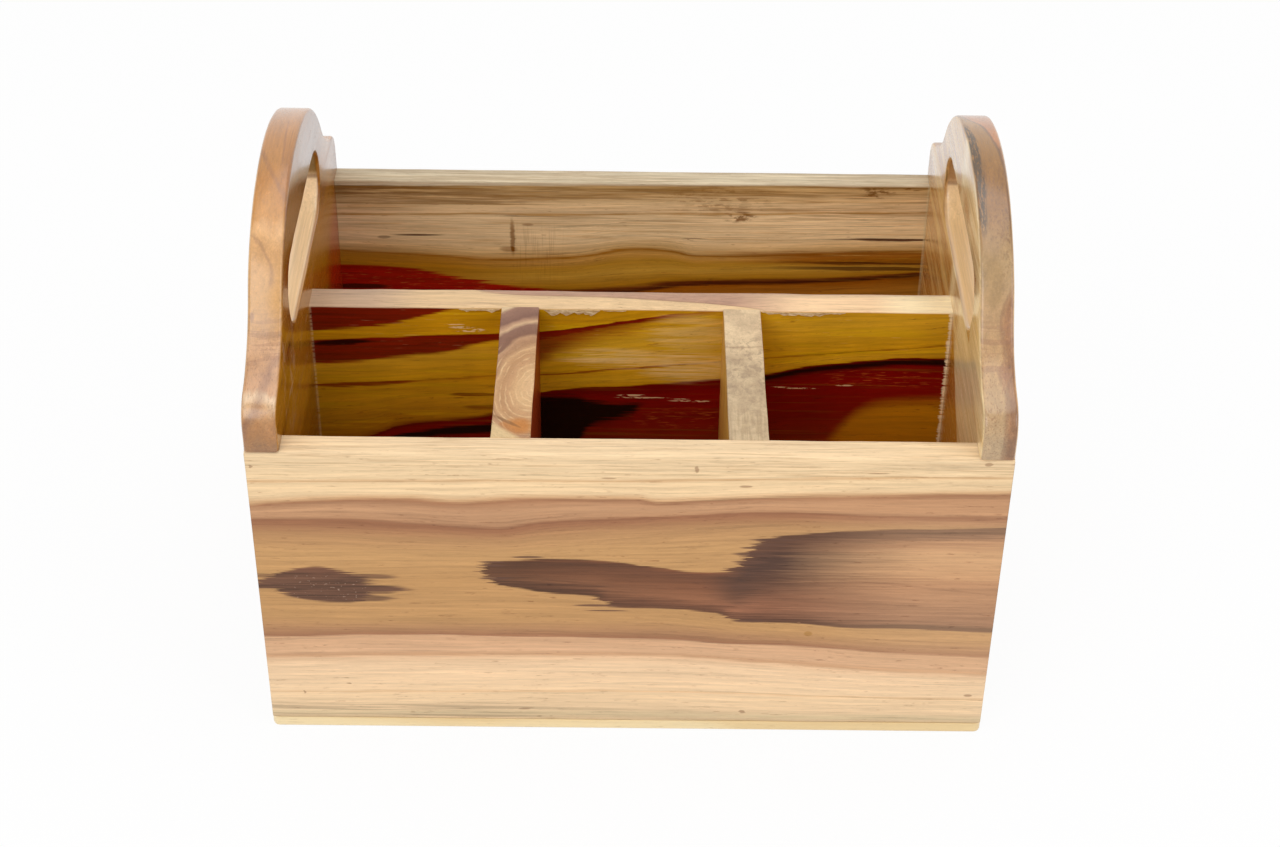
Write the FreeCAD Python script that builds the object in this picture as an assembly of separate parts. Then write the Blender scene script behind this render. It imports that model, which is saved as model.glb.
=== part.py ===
"""Utensil caddy with drawer: a nailed and glued box of solid teak boards.

The caddy stands on a thin base board. Two shaped side boards carry everything: each has a humped top
with a handle slot, ogee shoulders, and a rebate at either end that the front and back boards lie in.
A compartment floor is housed in grooves in the sides, with a long divider across the middle of the
caddy and two short dividers in front of it. Below that floor a drawer slides on the base board. It
opens at the back, and its face lies in the rebates below the back board.

Frame: millimetres, +X to the right, +Y to the back, +Z up, origin at the centre of the base's underside.
"""

import FreeCAD, Part
import math
import os

Vector = FreeCAD.Vector
PARTS = "parts"

# --- Driving sizes ------------------------------------------------------------------------------
body_width = 305.0  # over the two side boards
body_depth = 221.0  # from the front face to the back face
rim_height = 148.5  # top edges of front, back and dividers, above the table

base_thickness = 5.5
base_corner_radius = 3.0
face_board_thickness = 12.5  # front board and back board
side_thickness = 14.3
floor_thickness = 9.0
long_divider_thickness = 14.5
short_divider_thickness = 16.4
front_compartment_depth = 91.5  # front board to long divider
middle_compartment_width = 78.8  # between the short dividers

# Humped top of a side board: crown, haunch, hollow cove and shoulder, each arc tangent to the next.
shoulder_land = 9.8  # upright edge between the rim and the shoulder
shoulder_radius = 11.6
cove_radius = 57.6
haunch_radius = 71.7
crown_slope = math.radians(18.4)  # where crown meets haunch
steepest_slope = math.radians(56.5)  # where haunch meets cove
shoulder_slope = math.radians(16.1)  # where cove meets shoulder

handle_bar_height = 31.3  # wood above the handle slot, at the crown
handle_slot_length = 106.0
handle_slot_height = 30.0

arris_radius = 1.2  # eased edges of the straight boards
hump_arris = 1.3  # bevel along the edges of a side's humped top
slot_arris = 1.7  # bevel round the handle slot
base_arris = 1.0  # bevel round the underside of the base

floor_housing_depth = 4.5  # groove in a side board that takes the floor's end

# Drawer
drawer_opening_height = 56.0  # base board to compartment floor
drawer_side_clearance = 0.8
drawer_running_clearance = 0.3  # under the drawer, over the base board
drawer_closing_gap = 0.3  # drawer face to the edges that it closes against
drawer_back_clearance = 1.5  # drawer back to front board when shut
drawer_face_gap = 1.1  # drawer face to the back board over it
drawer_board_thickness = 9.0
drawer_top_clearance = 4.0  # drawer sides to the compartment floor
drawer_housing_depth = 4.0  # grooves in the drawer face and sides
drawer_bottom_thickness = 4.0
drawer_bottom_lift = 4.0  # bottom panel above the lower edge of the sides
drawer_back_drop = 3.0  # drawer back below the top of the sides
panel_slack = 0.3  # bottom panel short of the groove's floor

# Knob, turned on a lathe, and the screw that holds it
knob_foot_radius = 7.5
knob_foot_height = 2.5
knob_neck_radius = 5.3
knob_neck_height = 8.5
knob_head_radius = 11.5
knob_bowl_height = 5.5  # from the neck out to the rim
knob_dome_height = 3.5
knob_neck_count = 4  # straight cuts that make up each curve of the profile
knob_bowl_count = 3
knob_dome_count = 3
screw_radius = 1.9
screw_hole_clearance = 0.25  # in the drawer face
screw_fit = 0.02  # in the knob
screw_grip = 11.0  # length inside the knob
screw_point_length = 3.0
screw_tip_radius = 0.6
screw_head_radius = 3.9
screw_head_rim = 1.2  # upright edge of the head
screw_head_height = 2.6
screw_crown_radius = 2.4  # flat top of the head
screw_slot_width = 0.9
screw_slot_depth = 1.2

# Brads, of flat wire with a chisel point, set below the surface and filled over
brad_length = 30.0
brad_shank_width = 1.3
brad_head_width = 2.2
brad_head_height = 0.9
brad_thickness = 1.1
brad_point_length = 2.4
brad_sink = 1.5
brad_fit = 0.02  # clearance all round in its hole
brad_edge_distance = 16.0  # from a board's end to its first brad
drawer_brad_length = 20.0
drawer_brad_edge = 10.0
base_brad_inset = 24.0
drawer_bottom_brad_spacing = 150.0  # brads up through the bottom panel into the drawer back

# --- Places worked out from the sizes -----------------------------------------------------------
outer_x = body_width / 2
inner_x = outer_x - side_thickness
face_y = body_depth / 2
rebate_y = face_y - face_board_thickness  # inner faces of front and back boards
floor_bottom_z = base_thickness + drawer_opening_height
floor_top_z = floor_bottom_z + floor_thickness
divider_front_y = -rebate_y + front_compartment_depth
divider_back_y = divider_front_y + long_divider_thickness
short_divider_x = (middle_compartment_width + short_divider_thickness) / 2
side_centre_x = outer_x - side_thickness / 2

haunch_run = haunch_radius * (math.sin(steepest_slope) - math.sin(crown_slope))
cove_run = cove_radius * (math.sin(steepest_slope) - math.sin(shoulder_slope))
shoulder_run = shoulder_radius * (1 - math.sin(shoulder_slope))
crown_radius = (face_y - haunch_run - cove_run - shoulder_run) / math.sin(crown_slope)
crown_drop = crown_radius * (1 - math.cos(crown_slope))
haunch_drop = haunch_radius * (math.cos(crown_slope) - math.cos(steepest_slope))
cove_drop = cove_radius * (math.cos(shoulder_slope) - math.cos(steepest_slope))
shoulder_drop = shoulder_radius * math.cos(shoulder_slope)
shoulder_foot_z = rim_height + shoulder_land
arch_z = shoulder_foot_z + shoulder_drop + cove_drop + haunch_drop + crown_drop
slot_centre_z = arch_z - handle_bar_height - handle_slot_height / 2

drawer_outer_x = inner_x - drawer_side_clearance
drawer_inner_x = drawer_outer_x - drawer_board_thickness
drawer_low_z = base_thickness + drawer_running_clearance
drawer_top_z = floor_bottom_z - drawer_top_clearance
drawer_face_in_y = rebate_y + drawer_closing_gap
drawer_face_top_z = floor_bottom_z - drawer_face_gap
drawer_rear_y = -rebate_y + drawer_back_clearance
drawer_rear_in_y = drawer_rear_y + drawer_board_thickness
bottom_low_z = drawer_low_z + drawer_bottom_lift
bottom_top_z = bottom_low_z + drawer_bottom_thickness
knob_z = (drawer_low_z + drawer_face_top_z) / 2

LEFT, RIGHT = -1, 1
SAME_PLACE = 1e-4  # edges this near to a place are taken as being there
TOWARDS_BACK = Vector(0, 1, 0)
TOWARDS_FRONT = Vector(0, -1, 0)
UP = Vector(0, 0, 1)


# --- Small helpers ------------------------------------------------------------------------------
def board(low_x, high_x, low_y, high_y, low_z, high_z):
    """A squared board between two corners."""
    size = (high_x - low_x, high_y - low_y, high_z - low_z)
    return Part.makeBox(*size, Vector(low_x, low_y, low_z))


def near(value, target):
    return abs(value - target) < SAME_PLACE


def within(low, high, least, most):
    """Whether low to high stays between these limits, the limits included."""
    return low > least - SAME_PLACE and high < most + SAME_PLACE


def chosen_edges(shape, wanted):
    """The edges that wanted(low corner, high corner) picks."""
    picked = []
    for edge in shape.Edges:
        box = edge.BoundBox
        low, high = Vector(box.XMin, box.YMin, box.ZMin), Vector(box.XMax, box.YMax, box.ZMax)
        if wanted(low, high):
            picked.append(edge)
    return picked


def rounded(shape, radius, wanted):
    return shape.makeFillet(radius, chosen_edges(shape, wanted))


def bevelled(shape, width, wanted):
    return shape.makeChamfer(width, chosen_edges(shape, wanted))


def along_x(low, high, y, z):
    """Whether an edge runs the length of the board at this y and z."""
    return near(low.y, y) and near(high.y, y) and near(low.z, z) and near(high.z, z)


def upright_at(low, high, x, y):
    """Whether an edge stands upright at this x and y."""
    return near(low.x, x) and near(high.x, x) and near(low.y, y) and near(high.y, y)


def flat_brad(head, direction, length, grow=0.0):
    """One brad cut from flat wire: a wide head, a shank and a chisel point. With grow, its hole."""
    half_head = brad_head_width / 2 + grow
    half_shank = brad_shank_width / 2 + grow
    neck = brad_head_height + grow
    shoulder = length - brad_point_length
    right_half = [(half_head, -grow), (half_head, neck), (half_shank, neck), (half_shank, shoulder)]
    left_half = [(-across, along) for across, along in reversed(right_half)]
    outline = right_half + [(0, length + grow)] + left_half
    thickness = brad_thickness + 2 * grow
    corners = [Vector(across, -thickness / 2, along) for across, along in outline]
    pin = Part.Face(Part.makePolygon(corners + corners[:1])).extrude(Vector(0, thickness, 0))
    pin.Placement = FreeCAD.Placement(head, FreeCAD.Rotation(UP, direction))
    return pin


def brads(places, length=brad_length):
    """The brads driven at these places, each a head point on the surface and a direction."""
    return [flat_brad(at + into * brad_sink, into, length) for at, into in places]


def nailed(shape, *groups):
    """The shape with the holes of every brad that passes through it."""
    holes = []
    for places, length in groups:
        for at, into in places:
            holes.append(flat_brad(at + into * brad_sink, into, length, brad_fit))
    return shape.cut(Part.makeCompound(holes))


def spread(low, high, count):
    """Evenly spaced positions from low to high."""
    return [low + (high - low) * i / (count - 1) for i in range(count)]


# --- Where the brads go -------------------------------------------------------------------------
front_heights = spread(base_thickness + brad_edge_distance, rim_height - brad_edge_distance, 3)
back_heights = spread(floor_bottom_z + brad_edge_distance, rim_height - brad_edge_distance, 2)
divider_heights = spread(floor_top_z + brad_edge_distance, rim_height - brad_edge_distance, 2)

front_places = [
    (Vector(side * side_centre_x, -face_y, z), TOWARDS_BACK) for side in (LEFT, RIGHT) for z in front_heights
] + [(Vector(side * short_divider_x, -face_y, z), TOWARDS_BACK) for side in (LEFT, RIGHT) for z in divider_heights]

back_places = [
    (Vector(side * side_centre_x, face_y, z), TOWARDS_FRONT) for side in (LEFT, RIGHT) for z in back_heights
]

divider_y = (divider_front_y + divider_back_y) / 2
divider_places = [
    (Vector(side * outer_x, divider_y, z), Vector(-side, 0, 0)) for side in (LEFT, RIGHT) for z in divider_heights
] + [
    (Vector(side * short_divider_x, divider_back_y, z), TOWARDS_FRONT)
    for side in (LEFT, RIGHT)
    for z in divider_heights
]

base_places = [
    (Vector(side * side_centre_x, y, 0), UP)
    for side in (LEFT, RIGHT)
    for y in spread(-rebate_y + base_brad_inset, rebate_y - base_brad_inset, 3)
] + [
    (Vector(x, -face_y + face_board_thickness / 2, 0), UP)
    for x in spread(-inner_x + base_brad_inset, inner_x - base_brad_inset, 3)
]

drawer_back_centre_y = drawer_rear_y + drawer_board_thickness / 2
drawer_places = [
    (Vector(side * drawer_outer_x, drawer_back_centre_y, z), Vector(-side, 0, 0))
    for side in (LEFT, RIGHT)
    for z in spread(bottom_top_z + drawer_brad_edge, drawer_top_z - drawer_brad_edge, 2)
] + [(Vector(side * drawer_bottom_brad_spacing / 2, drawer_back_centre_y, bottom_low_z), UP) for side in (LEFT, RIGHT)]

front_nails = (front_places, brad_length)
back_nails = (back_places, brad_length)
divider_nails = (divider_places, brad_length)
base_nails = (base_places, brad_length)
drawer_nails = (drawer_places, drawer_brad_length)


# --- Carcass ------------------------------------------------------------------------------------
def face_board(front_to_back, low_z):
    """A front or back board, lying in the sides' rebates with its outer edges eased."""
    outer_y = front_to_back * face_y
    inner_y = front_to_back * rebate_y
    blank = board(-outer_x, outer_x, min(outer_y, inner_y), max(outer_y, inner_y), low_z, rim_height)

    def outer_arris(low, high):
        ends = upright_at(low, high, -outer_x, outer_y) or upright_at(low, high, outer_x, outer_y)
        return ends or along_x(low, high, outer_y, rim_height)

    return rounded(blank, arris_radius, outer_arris)


def front_board():
    return nailed(face_board(-1, base_thickness), front_nails, base_nails)


def back_board():
    return nailed(face_board(1, floor_bottom_z), back_nails)


def hump_edges(x):
    """The humped top from the back shoulder's foot over the crown to the front one, at this x."""

    def point(y, z):
        return Vector(x, y, z)

    # Walk down the back half of the hump, storing each arc as its start, middle and end.
    slopes = [
        (crown_radius, 0.0, crown_slope, 1),
        (haunch_radius, crown_slope, steepest_slope, 1),
        (cove_radius, steepest_slope, shoulder_slope, -1),
        (shoulder_radius, shoulder_slope, math.pi / 2, 1),
    ]
    y, z = 0.0, arch_z
    back_half = []
    for radius, start, end, hollow in slopes:
        stops = []
        for slope in (start, (start + end) / 2, end):
            run = radius * abs(math.sin(slope) - math.sin(start))
            drop = radius * abs(math.cos(start) - math.cos(slope))
            stops.append((y + run, z - drop))
        back_half.append(stops)
        y, z = stops[-1]

    edges = []
    for stops in reversed(back_half):
        edges.append(Part.Arc(*[point(*stop) for stop in reversed(stops)]).toShape())
    for stops in back_half:
        edges.append(Part.Arc(*[point(-across, up) for across, up in stops]).toShape())
    return edges


def slot_tool(x, reach):
    """The round-ended handle slot as a solid bar through a side board."""
    radius = handle_slot_height / 2
    half = handle_slot_length / 2 - radius
    low, high = slot_centre_z - radius, slot_centre_z + radius
    corners = [Vector(x, -half, low), Vector(x, half, low), Vector(x, half, high), Vector(x, -half, high)]
    edges = [
        Part.makeLine(corners[0], corners[1]),
        Part.Arc(corners[1], Vector(x, half + radius, slot_centre_z), corners[2]).toShape(),
        Part.makeLine(corners[2], corners[3]),
        Part.Arc(corners[3], Vector(x, -half - radius, slot_centre_z), corners[0]).toShape(),
    ]
    return Part.Face(Part.Wire(edges)).extrude(Vector(reach, 0, 0))


def side_board(side):
    """A side board: humped top, rebated ends, handle slot and the groove for the floor."""
    low_x = min(side * outer_x, side * inner_x)
    high_x = low_x + side_thickness

    def corner(y, z):
        return Vector(low_x, y, z)

    foot = [
        corner(-face_y, shoulder_foot_z),
        corner(-face_y, rim_height),
        corner(-rebate_y, rim_height),
        corner(-rebate_y, base_thickness),
        corner(rebate_y, base_thickness),
        corner(rebate_y, rim_height),
        corner(face_y, rim_height),
        corner(face_y, shoulder_foot_z),
    ]
    edges = hump_edges(low_x) + [Part.makeLine(a, b) for a, b in zip(foot, foot[1:])]
    blank = Part.Face(Part.Wire(edges)).extrude(Vector(side_thickness, 0, 0))
    blank = blank.cut(slot_tool(low_x, side_thickness))

    def on_a_face(low, high):
        return near(low.x, high.x) and (near(low.x, low_x) or near(low.x, high_x))

    slot_low, slot_high = slot_centre_z - handle_slot_height / 2, slot_centre_z + handle_slot_height / 2

    def round_slot(low, high):
        inside_y = within(low.y, high.y, -handle_slot_length / 2, handle_slot_length / 2)
        return on_a_face(low, high) and inside_y and within(low.z, high.z, slot_low, slot_high)

    def round_hump(low, high):
        above_rim = within(low.z, high.z, rim_height, arch_z) and not near(high.z, rim_height)
        return on_a_face(low, high) and above_rim and not round_slot(low, high)

    shaped = bevelled(blank, hump_arris, round_hump)
    shaped = bevelled(shaped, slot_arris, round_slot)
    groove_low_x = min(side * inner_x, side * (inner_x + floor_housing_depth))
    groove = board(
        groove_low_x, groove_low_x + floor_housing_depth, -rebate_y, rebate_y, floor_bottom_z, floor_top_z
    )
    return nailed(shaped.cut(groove), front_nails, back_nails, divider_nails, base_nails)


def compartment_floor():
    reach = inner_x + floor_housing_depth
    return board(-reach, reach, -rebate_y, rebate_y, floor_bottom_z, floor_top_z)


def long_divider():
    blank = board(-inner_x, inner_x, divider_front_y, divider_back_y, floor_top_z, rim_height)

    def top_arris(low, high):
        return along_x(low, high, divider_back_y, rim_height)

    return nailed(rounded(blank, arris_radius, top_arris), divider_nails)


def short_divider(side):
    low_x = side * short_divider_x - short_divider_thickness / 2
    high_x = low_x + short_divider_thickness
    blank = board(low_x, high_x, -rebate_y, divider_front_y, floor_top_z, rim_height)

    def top_arris(low, high):
        return near(low.x, high.x) and near(low.z, rim_height) and near(high.z, rim_height)

    return nailed(rounded(blank, arris_radius, top_arris), front_nails, divider_nails)


def base_board():
    blank = board(-outer_x, outer_x, -face_y, face_y, 0, base_thickness)

    def corner_edge(low, high):
        return near(low.x, high.x) and near(low.y, high.y)

    blank = rounded(blank, base_corner_radius, corner_edge)

    def lower_arris(low, high):
        return near(low.z, 0) and near(high.z, 0)

    return nailed(bevelled(blank, base_arris, lower_arris), base_nails)


# --- Drawer -------------------------------------------------------------------------------------
def bottom_panel_tool(slack):
    """The bottom panel, or with no slack the space of the grooves that hold it."""
    reach_x = drawer_inner_x + drawer_housing_depth - slack
    reach_y = drawer_face_in_y + drawer_housing_depth - slack
    return board(-reach_x, reach_x, drawer_rear_y, reach_y, bottom_low_z, bottom_top_z)


def drawer_side(side):
    low_x = min(side * drawer_outer_x, side * drawer_inner_x)
    high_x = low_x + drawer_board_thickness
    front_y = drawer_face_in_y + drawer_housing_depth
    blank = board(low_x, high_x, drawer_rear_y, front_y, drawer_low_z, drawer_top_z)
    return nailed(blank.cut(bottom_panel_tool(0)), drawer_nails)


def drawer_back():
    return nailed(
        board(
            -drawer_inner_x,
            drawer_inner_x,
            drawer_rear_y,
            drawer_rear_in_y,
            bottom_top_z,
            drawer_top_z - drawer_back_drop,
        ),
        drawer_nails,
    )


def drawer_face():
    """The drawer's face board, grooved inside for the drawer sides and bottom, and bored for the screw."""
    blank = board(-outer_x, outer_x, drawer_face_in_y, face_y, drawer_low_z, drawer_face_top_z)

    def outer_arris(low, high):
        return near(low.y, face_y) and near(high.y, face_y)

    shaped = rounded(blank, arris_radius, outer_arris)
    for side in (LEFT, RIGHT):
        low_x = min(side * drawer_outer_x, side * drawer_inner_x)
        high_x = low_x + drawer_board_thickness
        housed_y = drawer_face_in_y + drawer_housing_depth
        shaped = shaped.cut(board(low_x, high_x, drawer_face_in_y, housed_y, drawer_low_z, drawer_top_z))
    bore = Part.makeCylinder(
        screw_radius + screw_hole_clearance,
        face_board_thickness,
        Vector(0, drawer_face_in_y, knob_z),
        TOWARDS_BACK,
    )
    return shaped.cut(bottom_panel_tool(0)).cut(bore)


def drawer_bottom():
    return nailed(bottom_panel_tool(panel_slack), drawer_nails)


def arc_stops(centre_radius, centre_out, radius, start, end, count):
    """Points of a turned profile along an arc about its centre, one more than its straight cuts."""
    stops = []
    for angle in spread(start, end, count + 1):
        stops.append((centre_radius + radius * math.cos(angle), centre_out + radius * math.sin(angle)))
    return stops


def turned(profile, foot_y):
    """A solid turned about the knob's axis from (radius, outward) points that start and end on the axis."""
    corners = [Vector(radius, foot_y + out, knob_z) for radius, out in profile]
    outline = Part.Face(Part.makePolygon(corners + corners[:1]))
    return outline.revolve(Vector(0, 0, knob_z), TOWARDS_BACK, 360)


def screw_shank(grow):
    """The screw's shank from the inside of the drawer face to its tip. With grow, the knob's hole."""
    length = face_y - drawer_face_in_y + screw_grip
    profile = [
        (0, 0),
        (screw_radius + grow, 0),
        (screw_radius + grow, length - screw_point_length),
        (screw_tip_radius + grow, length + grow),
        (0, length + grow),
    ]
    return turned(profile, drawer_face_in_y)


def knob():
    """A turned knob: foot, hollow neck, bowl and domed top, with a blind hole for the screw."""
    neck_end = knob_foot_height + knob_neck_height
    rim = neck_end + knob_bowl_height

    hollow = knob_foot_radius - knob_neck_radius
    half_neck = knob_neck_height / 2
    neck_radius = (hollow**2 + half_neck**2) / (2 * hollow)
    neck_reach = math.asin(half_neck / neck_radius)
    neck = arc_stops(
        knob_neck_radius + neck_radius,
        knob_foot_height + half_neck,
        neck_radius,
        math.pi + neck_reach,
        math.pi - neck_reach,
        knob_neck_count,
    )

    flare = knob_head_radius - knob_foot_radius
    bowl_radius = (flare**2 + knob_bowl_height**2) / (2 * flare)
    bowl_reach = math.asin(knob_bowl_height / bowl_radius)
    bowl = arc_stops(knob_head_radius - bowl_radius, rim, bowl_radius, -bowl_reach, 0, knob_bowl_count)

    dome_radius = (knob_head_radius**2 + knob_dome_height**2) / (2 * knob_dome_height)
    dome_centre = rim + knob_dome_height - dome_radius
    dome_start = math.acos(knob_head_radius / dome_radius)
    dome = arc_stops(0, dome_centre, dome_radius, dome_start, math.pi / 2, knob_dome_count)

    profile = [(0, 0), (knob_foot_radius, 0)] + neck + bowl[1:] + dome[1:]
    return turned(profile, face_y).cut(screw_shank(screw_fit))


def knob_screw():
    """A slotted screw from inside the drawer through its face into the knob."""
    head = turned(
        [
            (0, 0),
            (0, -screw_head_height),
            (screw_crown_radius, -screw_head_height),
            (screw_head_radius, -screw_head_rim),
            (screw_head_radius, 0),
        ],
        drawer_face_in_y,
    )
    slot_y = drawer_face_in_y - screw_head_height
    half_slot = screw_slot_width / 2
    slot = board(
        -screw_head_radius,
        screw_head_radius,
        slot_y,
        slot_y + screw_slot_depth,
        knob_z - half_slot,
        knob_z + half_slot,
    )
    return head.fuse(screw_shank(0)).cut(slot)


# --- Write one file for each node ---------------------------------------------------------------
def nodes():
    """Every node's name with its shape; a group of identical brads is one node."""
    return {
        "front_board": front_board(),
        "back_board": back_board(),
        "left_side": side_board(LEFT),
        "right_side": side_board(RIGHT),
        "long_divider": long_divider(),
        "left_short_divider": short_divider(LEFT),
        "right_short_divider": short_divider(RIGHT),
        "compartment_floor": compartment_floor(),
        "base_board": base_board(),
        "front_brads": Part.makeCompound(brads(front_places)),
        "back_brads": Part.makeCompound(brads(back_places)),
        "divider_brads": Part.makeCompound(brads(divider_places)),
        "base_brads": Part.makeCompound(brads(base_places)),
        "drawer_face": drawer_face(),
        "drawer_left_side": drawer_side(LEFT),
        "drawer_right_side": drawer_side(RIGHT),
        "drawer_back": drawer_back(),
        "drawer_bottom": drawer_bottom(),
        "drawer_brads": Part.makeCompound(brads(drawer_places, drawer_brad_length)),
        "drawer_knob": knob(),
        "knob_screw": knob_screw(),
    }


os.makedirs(PARTS, exist_ok=True)
for name, shape in nodes().items():
    shape.exportStep(os.path.join(PARTS, name + ".step"))
    print(name, len(shape.Solids), "solid(s), valid", shape.isValid(), "volume", round(shape.Volume, 1))
print("arch height", round(arch_z, 2), "crown radius", round(crown_radius, 2))
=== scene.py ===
import math
import random

import bmesh
import bpy
from mathutils import Matrix, Vector


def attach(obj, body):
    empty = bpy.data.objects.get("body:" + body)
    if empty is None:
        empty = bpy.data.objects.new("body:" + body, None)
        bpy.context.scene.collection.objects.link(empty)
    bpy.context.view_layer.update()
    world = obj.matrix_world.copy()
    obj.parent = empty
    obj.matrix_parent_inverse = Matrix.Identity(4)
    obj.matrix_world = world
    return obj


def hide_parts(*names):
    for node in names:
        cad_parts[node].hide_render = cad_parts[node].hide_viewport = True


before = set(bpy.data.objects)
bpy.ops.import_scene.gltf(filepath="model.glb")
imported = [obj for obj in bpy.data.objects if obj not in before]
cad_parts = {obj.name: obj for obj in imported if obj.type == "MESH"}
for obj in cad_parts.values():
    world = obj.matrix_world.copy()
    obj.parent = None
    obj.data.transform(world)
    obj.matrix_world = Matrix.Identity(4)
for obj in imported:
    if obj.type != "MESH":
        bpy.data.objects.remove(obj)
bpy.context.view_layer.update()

MM = 0.001

# Sizes in millimetres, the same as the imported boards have.
outer_x, inner_x = 152.5, 138.2
face_y, rebate_y = 110.5, 98.0
base_top, floor_low, floor_top, rim = 5.5, 61.5, 70.5, 148.5
divider_front, divider_back = -6.5, 8.0
short_in, short_out = 39.4, 55.8
slot_z, slot_radius, slot_half = 180.484, 15.0, 53.0
crown_z = 226.784
shoulder_low, shoulder_high, shoulder_end = 151.5, 155.0, 104.0
drawer_face_low, drawer_face_high, drawer_face_back = 5.8, 60.4, rebate_y + 0.3
knob_z = 33.1
line_length, line_height = 400.0, 250.0  # the room that a drawn grain line has, in millimetres
fibre_width = 1.15
long_cuts = 45  # cuts along a long board, so that its sanding can wave
joint_bite = 0.9  # how far a sanded board runs on into the one it butts against, so that no gap shows


# --- Finishes -----------------------------------------------------------------------------------
def tone(red, green, blue):
    """A colour given as it looks on a screen, 0 to 255, as linear light."""
    shares = (((c / 255 + 0.055) / 1.055) ** 2.4 if c > 10 else c / 255 / 12.92 for c in (red, green, blue))
    return (*shares, 1.0)


def add_node(tree, kind, inputs=None, **settings):
    """A node whose inputs are linked to signals, paints or sockets, or set to plain values."""
    node = tree.nodes.new(kind)
    for name, value in settings.items():
        setattr(node, name, value)
    for name, value in (inputs or {}).items():
        value = value.socket if isinstance(value, (Signal, Paint)) else value
        if isinstance(value, bpy.types.NodeSocket):
            tree.links.new(value, node.inputs[name])
        else:
            node.inputs[name].default_value = value
    return node


class Signal:
    """A number that varies over a surface. Sums and products of signals add Math nodes."""

    def __init__(self, finish, socket):
        self.finish, self.socket = finish, socket

    def __add__(self, other):
        return self.finish.math("ADD", self, other)

    def __sub__(self, other):
        return self.finish.math("SUBTRACT", self, other)

    def __rsub__(self, other):
        return self.finish.math("SUBTRACT", other, self)

    def __mul__(self, other):
        return self.finish.math("MULTIPLY", self, other)

    def __truediv__(self, other):
        return self.finish.math("DIVIDE", self, other)

    def __abs__(self):
        return self.finish.math("ABSOLUTE", self)

    __radd__, __rmul__ = __add__, __mul__

    def least(self, other):
        return self.finish.math("MINIMUM", self, other)

    def most(self, other):
        return self.finish.math("MAXIMUM", self, other)

    def fract(self):
        return self.finish.math("FRACT", self)

    def rise(self, start, end, smooth=True):
        """0 before start, 1 after end. A start above the end makes it a fall."""
        falls = not isinstance(start, Signal) and not isinstance(end, Signal) and start > end
        low, high = (end, start) if falls else (start, end)
        ends = {"From Min": low, "From Max": high, "To Min": float(falls), "To Max": float(not falls)}
        kind = "SMOOTHSTEP" if smooth else "LINEAR"
        inputs = {"Value": self, **ends}
        node = self.finish.add("ShaderNodeMapRange", inputs, interpolation_type=kind, clamp=True)
        return Signal(self.finish, node.outputs[0])

    def band(self, start, full, falling, gone):
        """1 between full and falling, 0 before start and after gone."""
        return self.rise(start, full) * self.rise(gone, falling)

    def between(self, a, b):
        """Where this is 0 it gives a, and where it is 1 it gives b."""
        return self * (b - a) + a

    def stray(self, amount):
        """Noise as a shift to either side, this amount wide in all."""
        return (self - 0.5) * amount


class Paint:
    """A colour that varies over a surface, built up in layers."""

    def __init__(self, finish, socket):
        self.finish, self.socket = finish, socket

    def lay(self, share, colour, blend="MIX"):
        """Lays a colour over this one, opaque where share is 1."""
        self.socket = self.finish.mix(share, self, colour, blend).socket

    def shade(self, factor):
        """Makes the colour lighter or darker by a factor near 1."""
        grey = self.finish.add("ShaderNodeCombineColor", {0: factor, 1: factor, 2: factor})
        self.lay(1.0, grey.outputs[0], "MULTIPLY")


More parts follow.
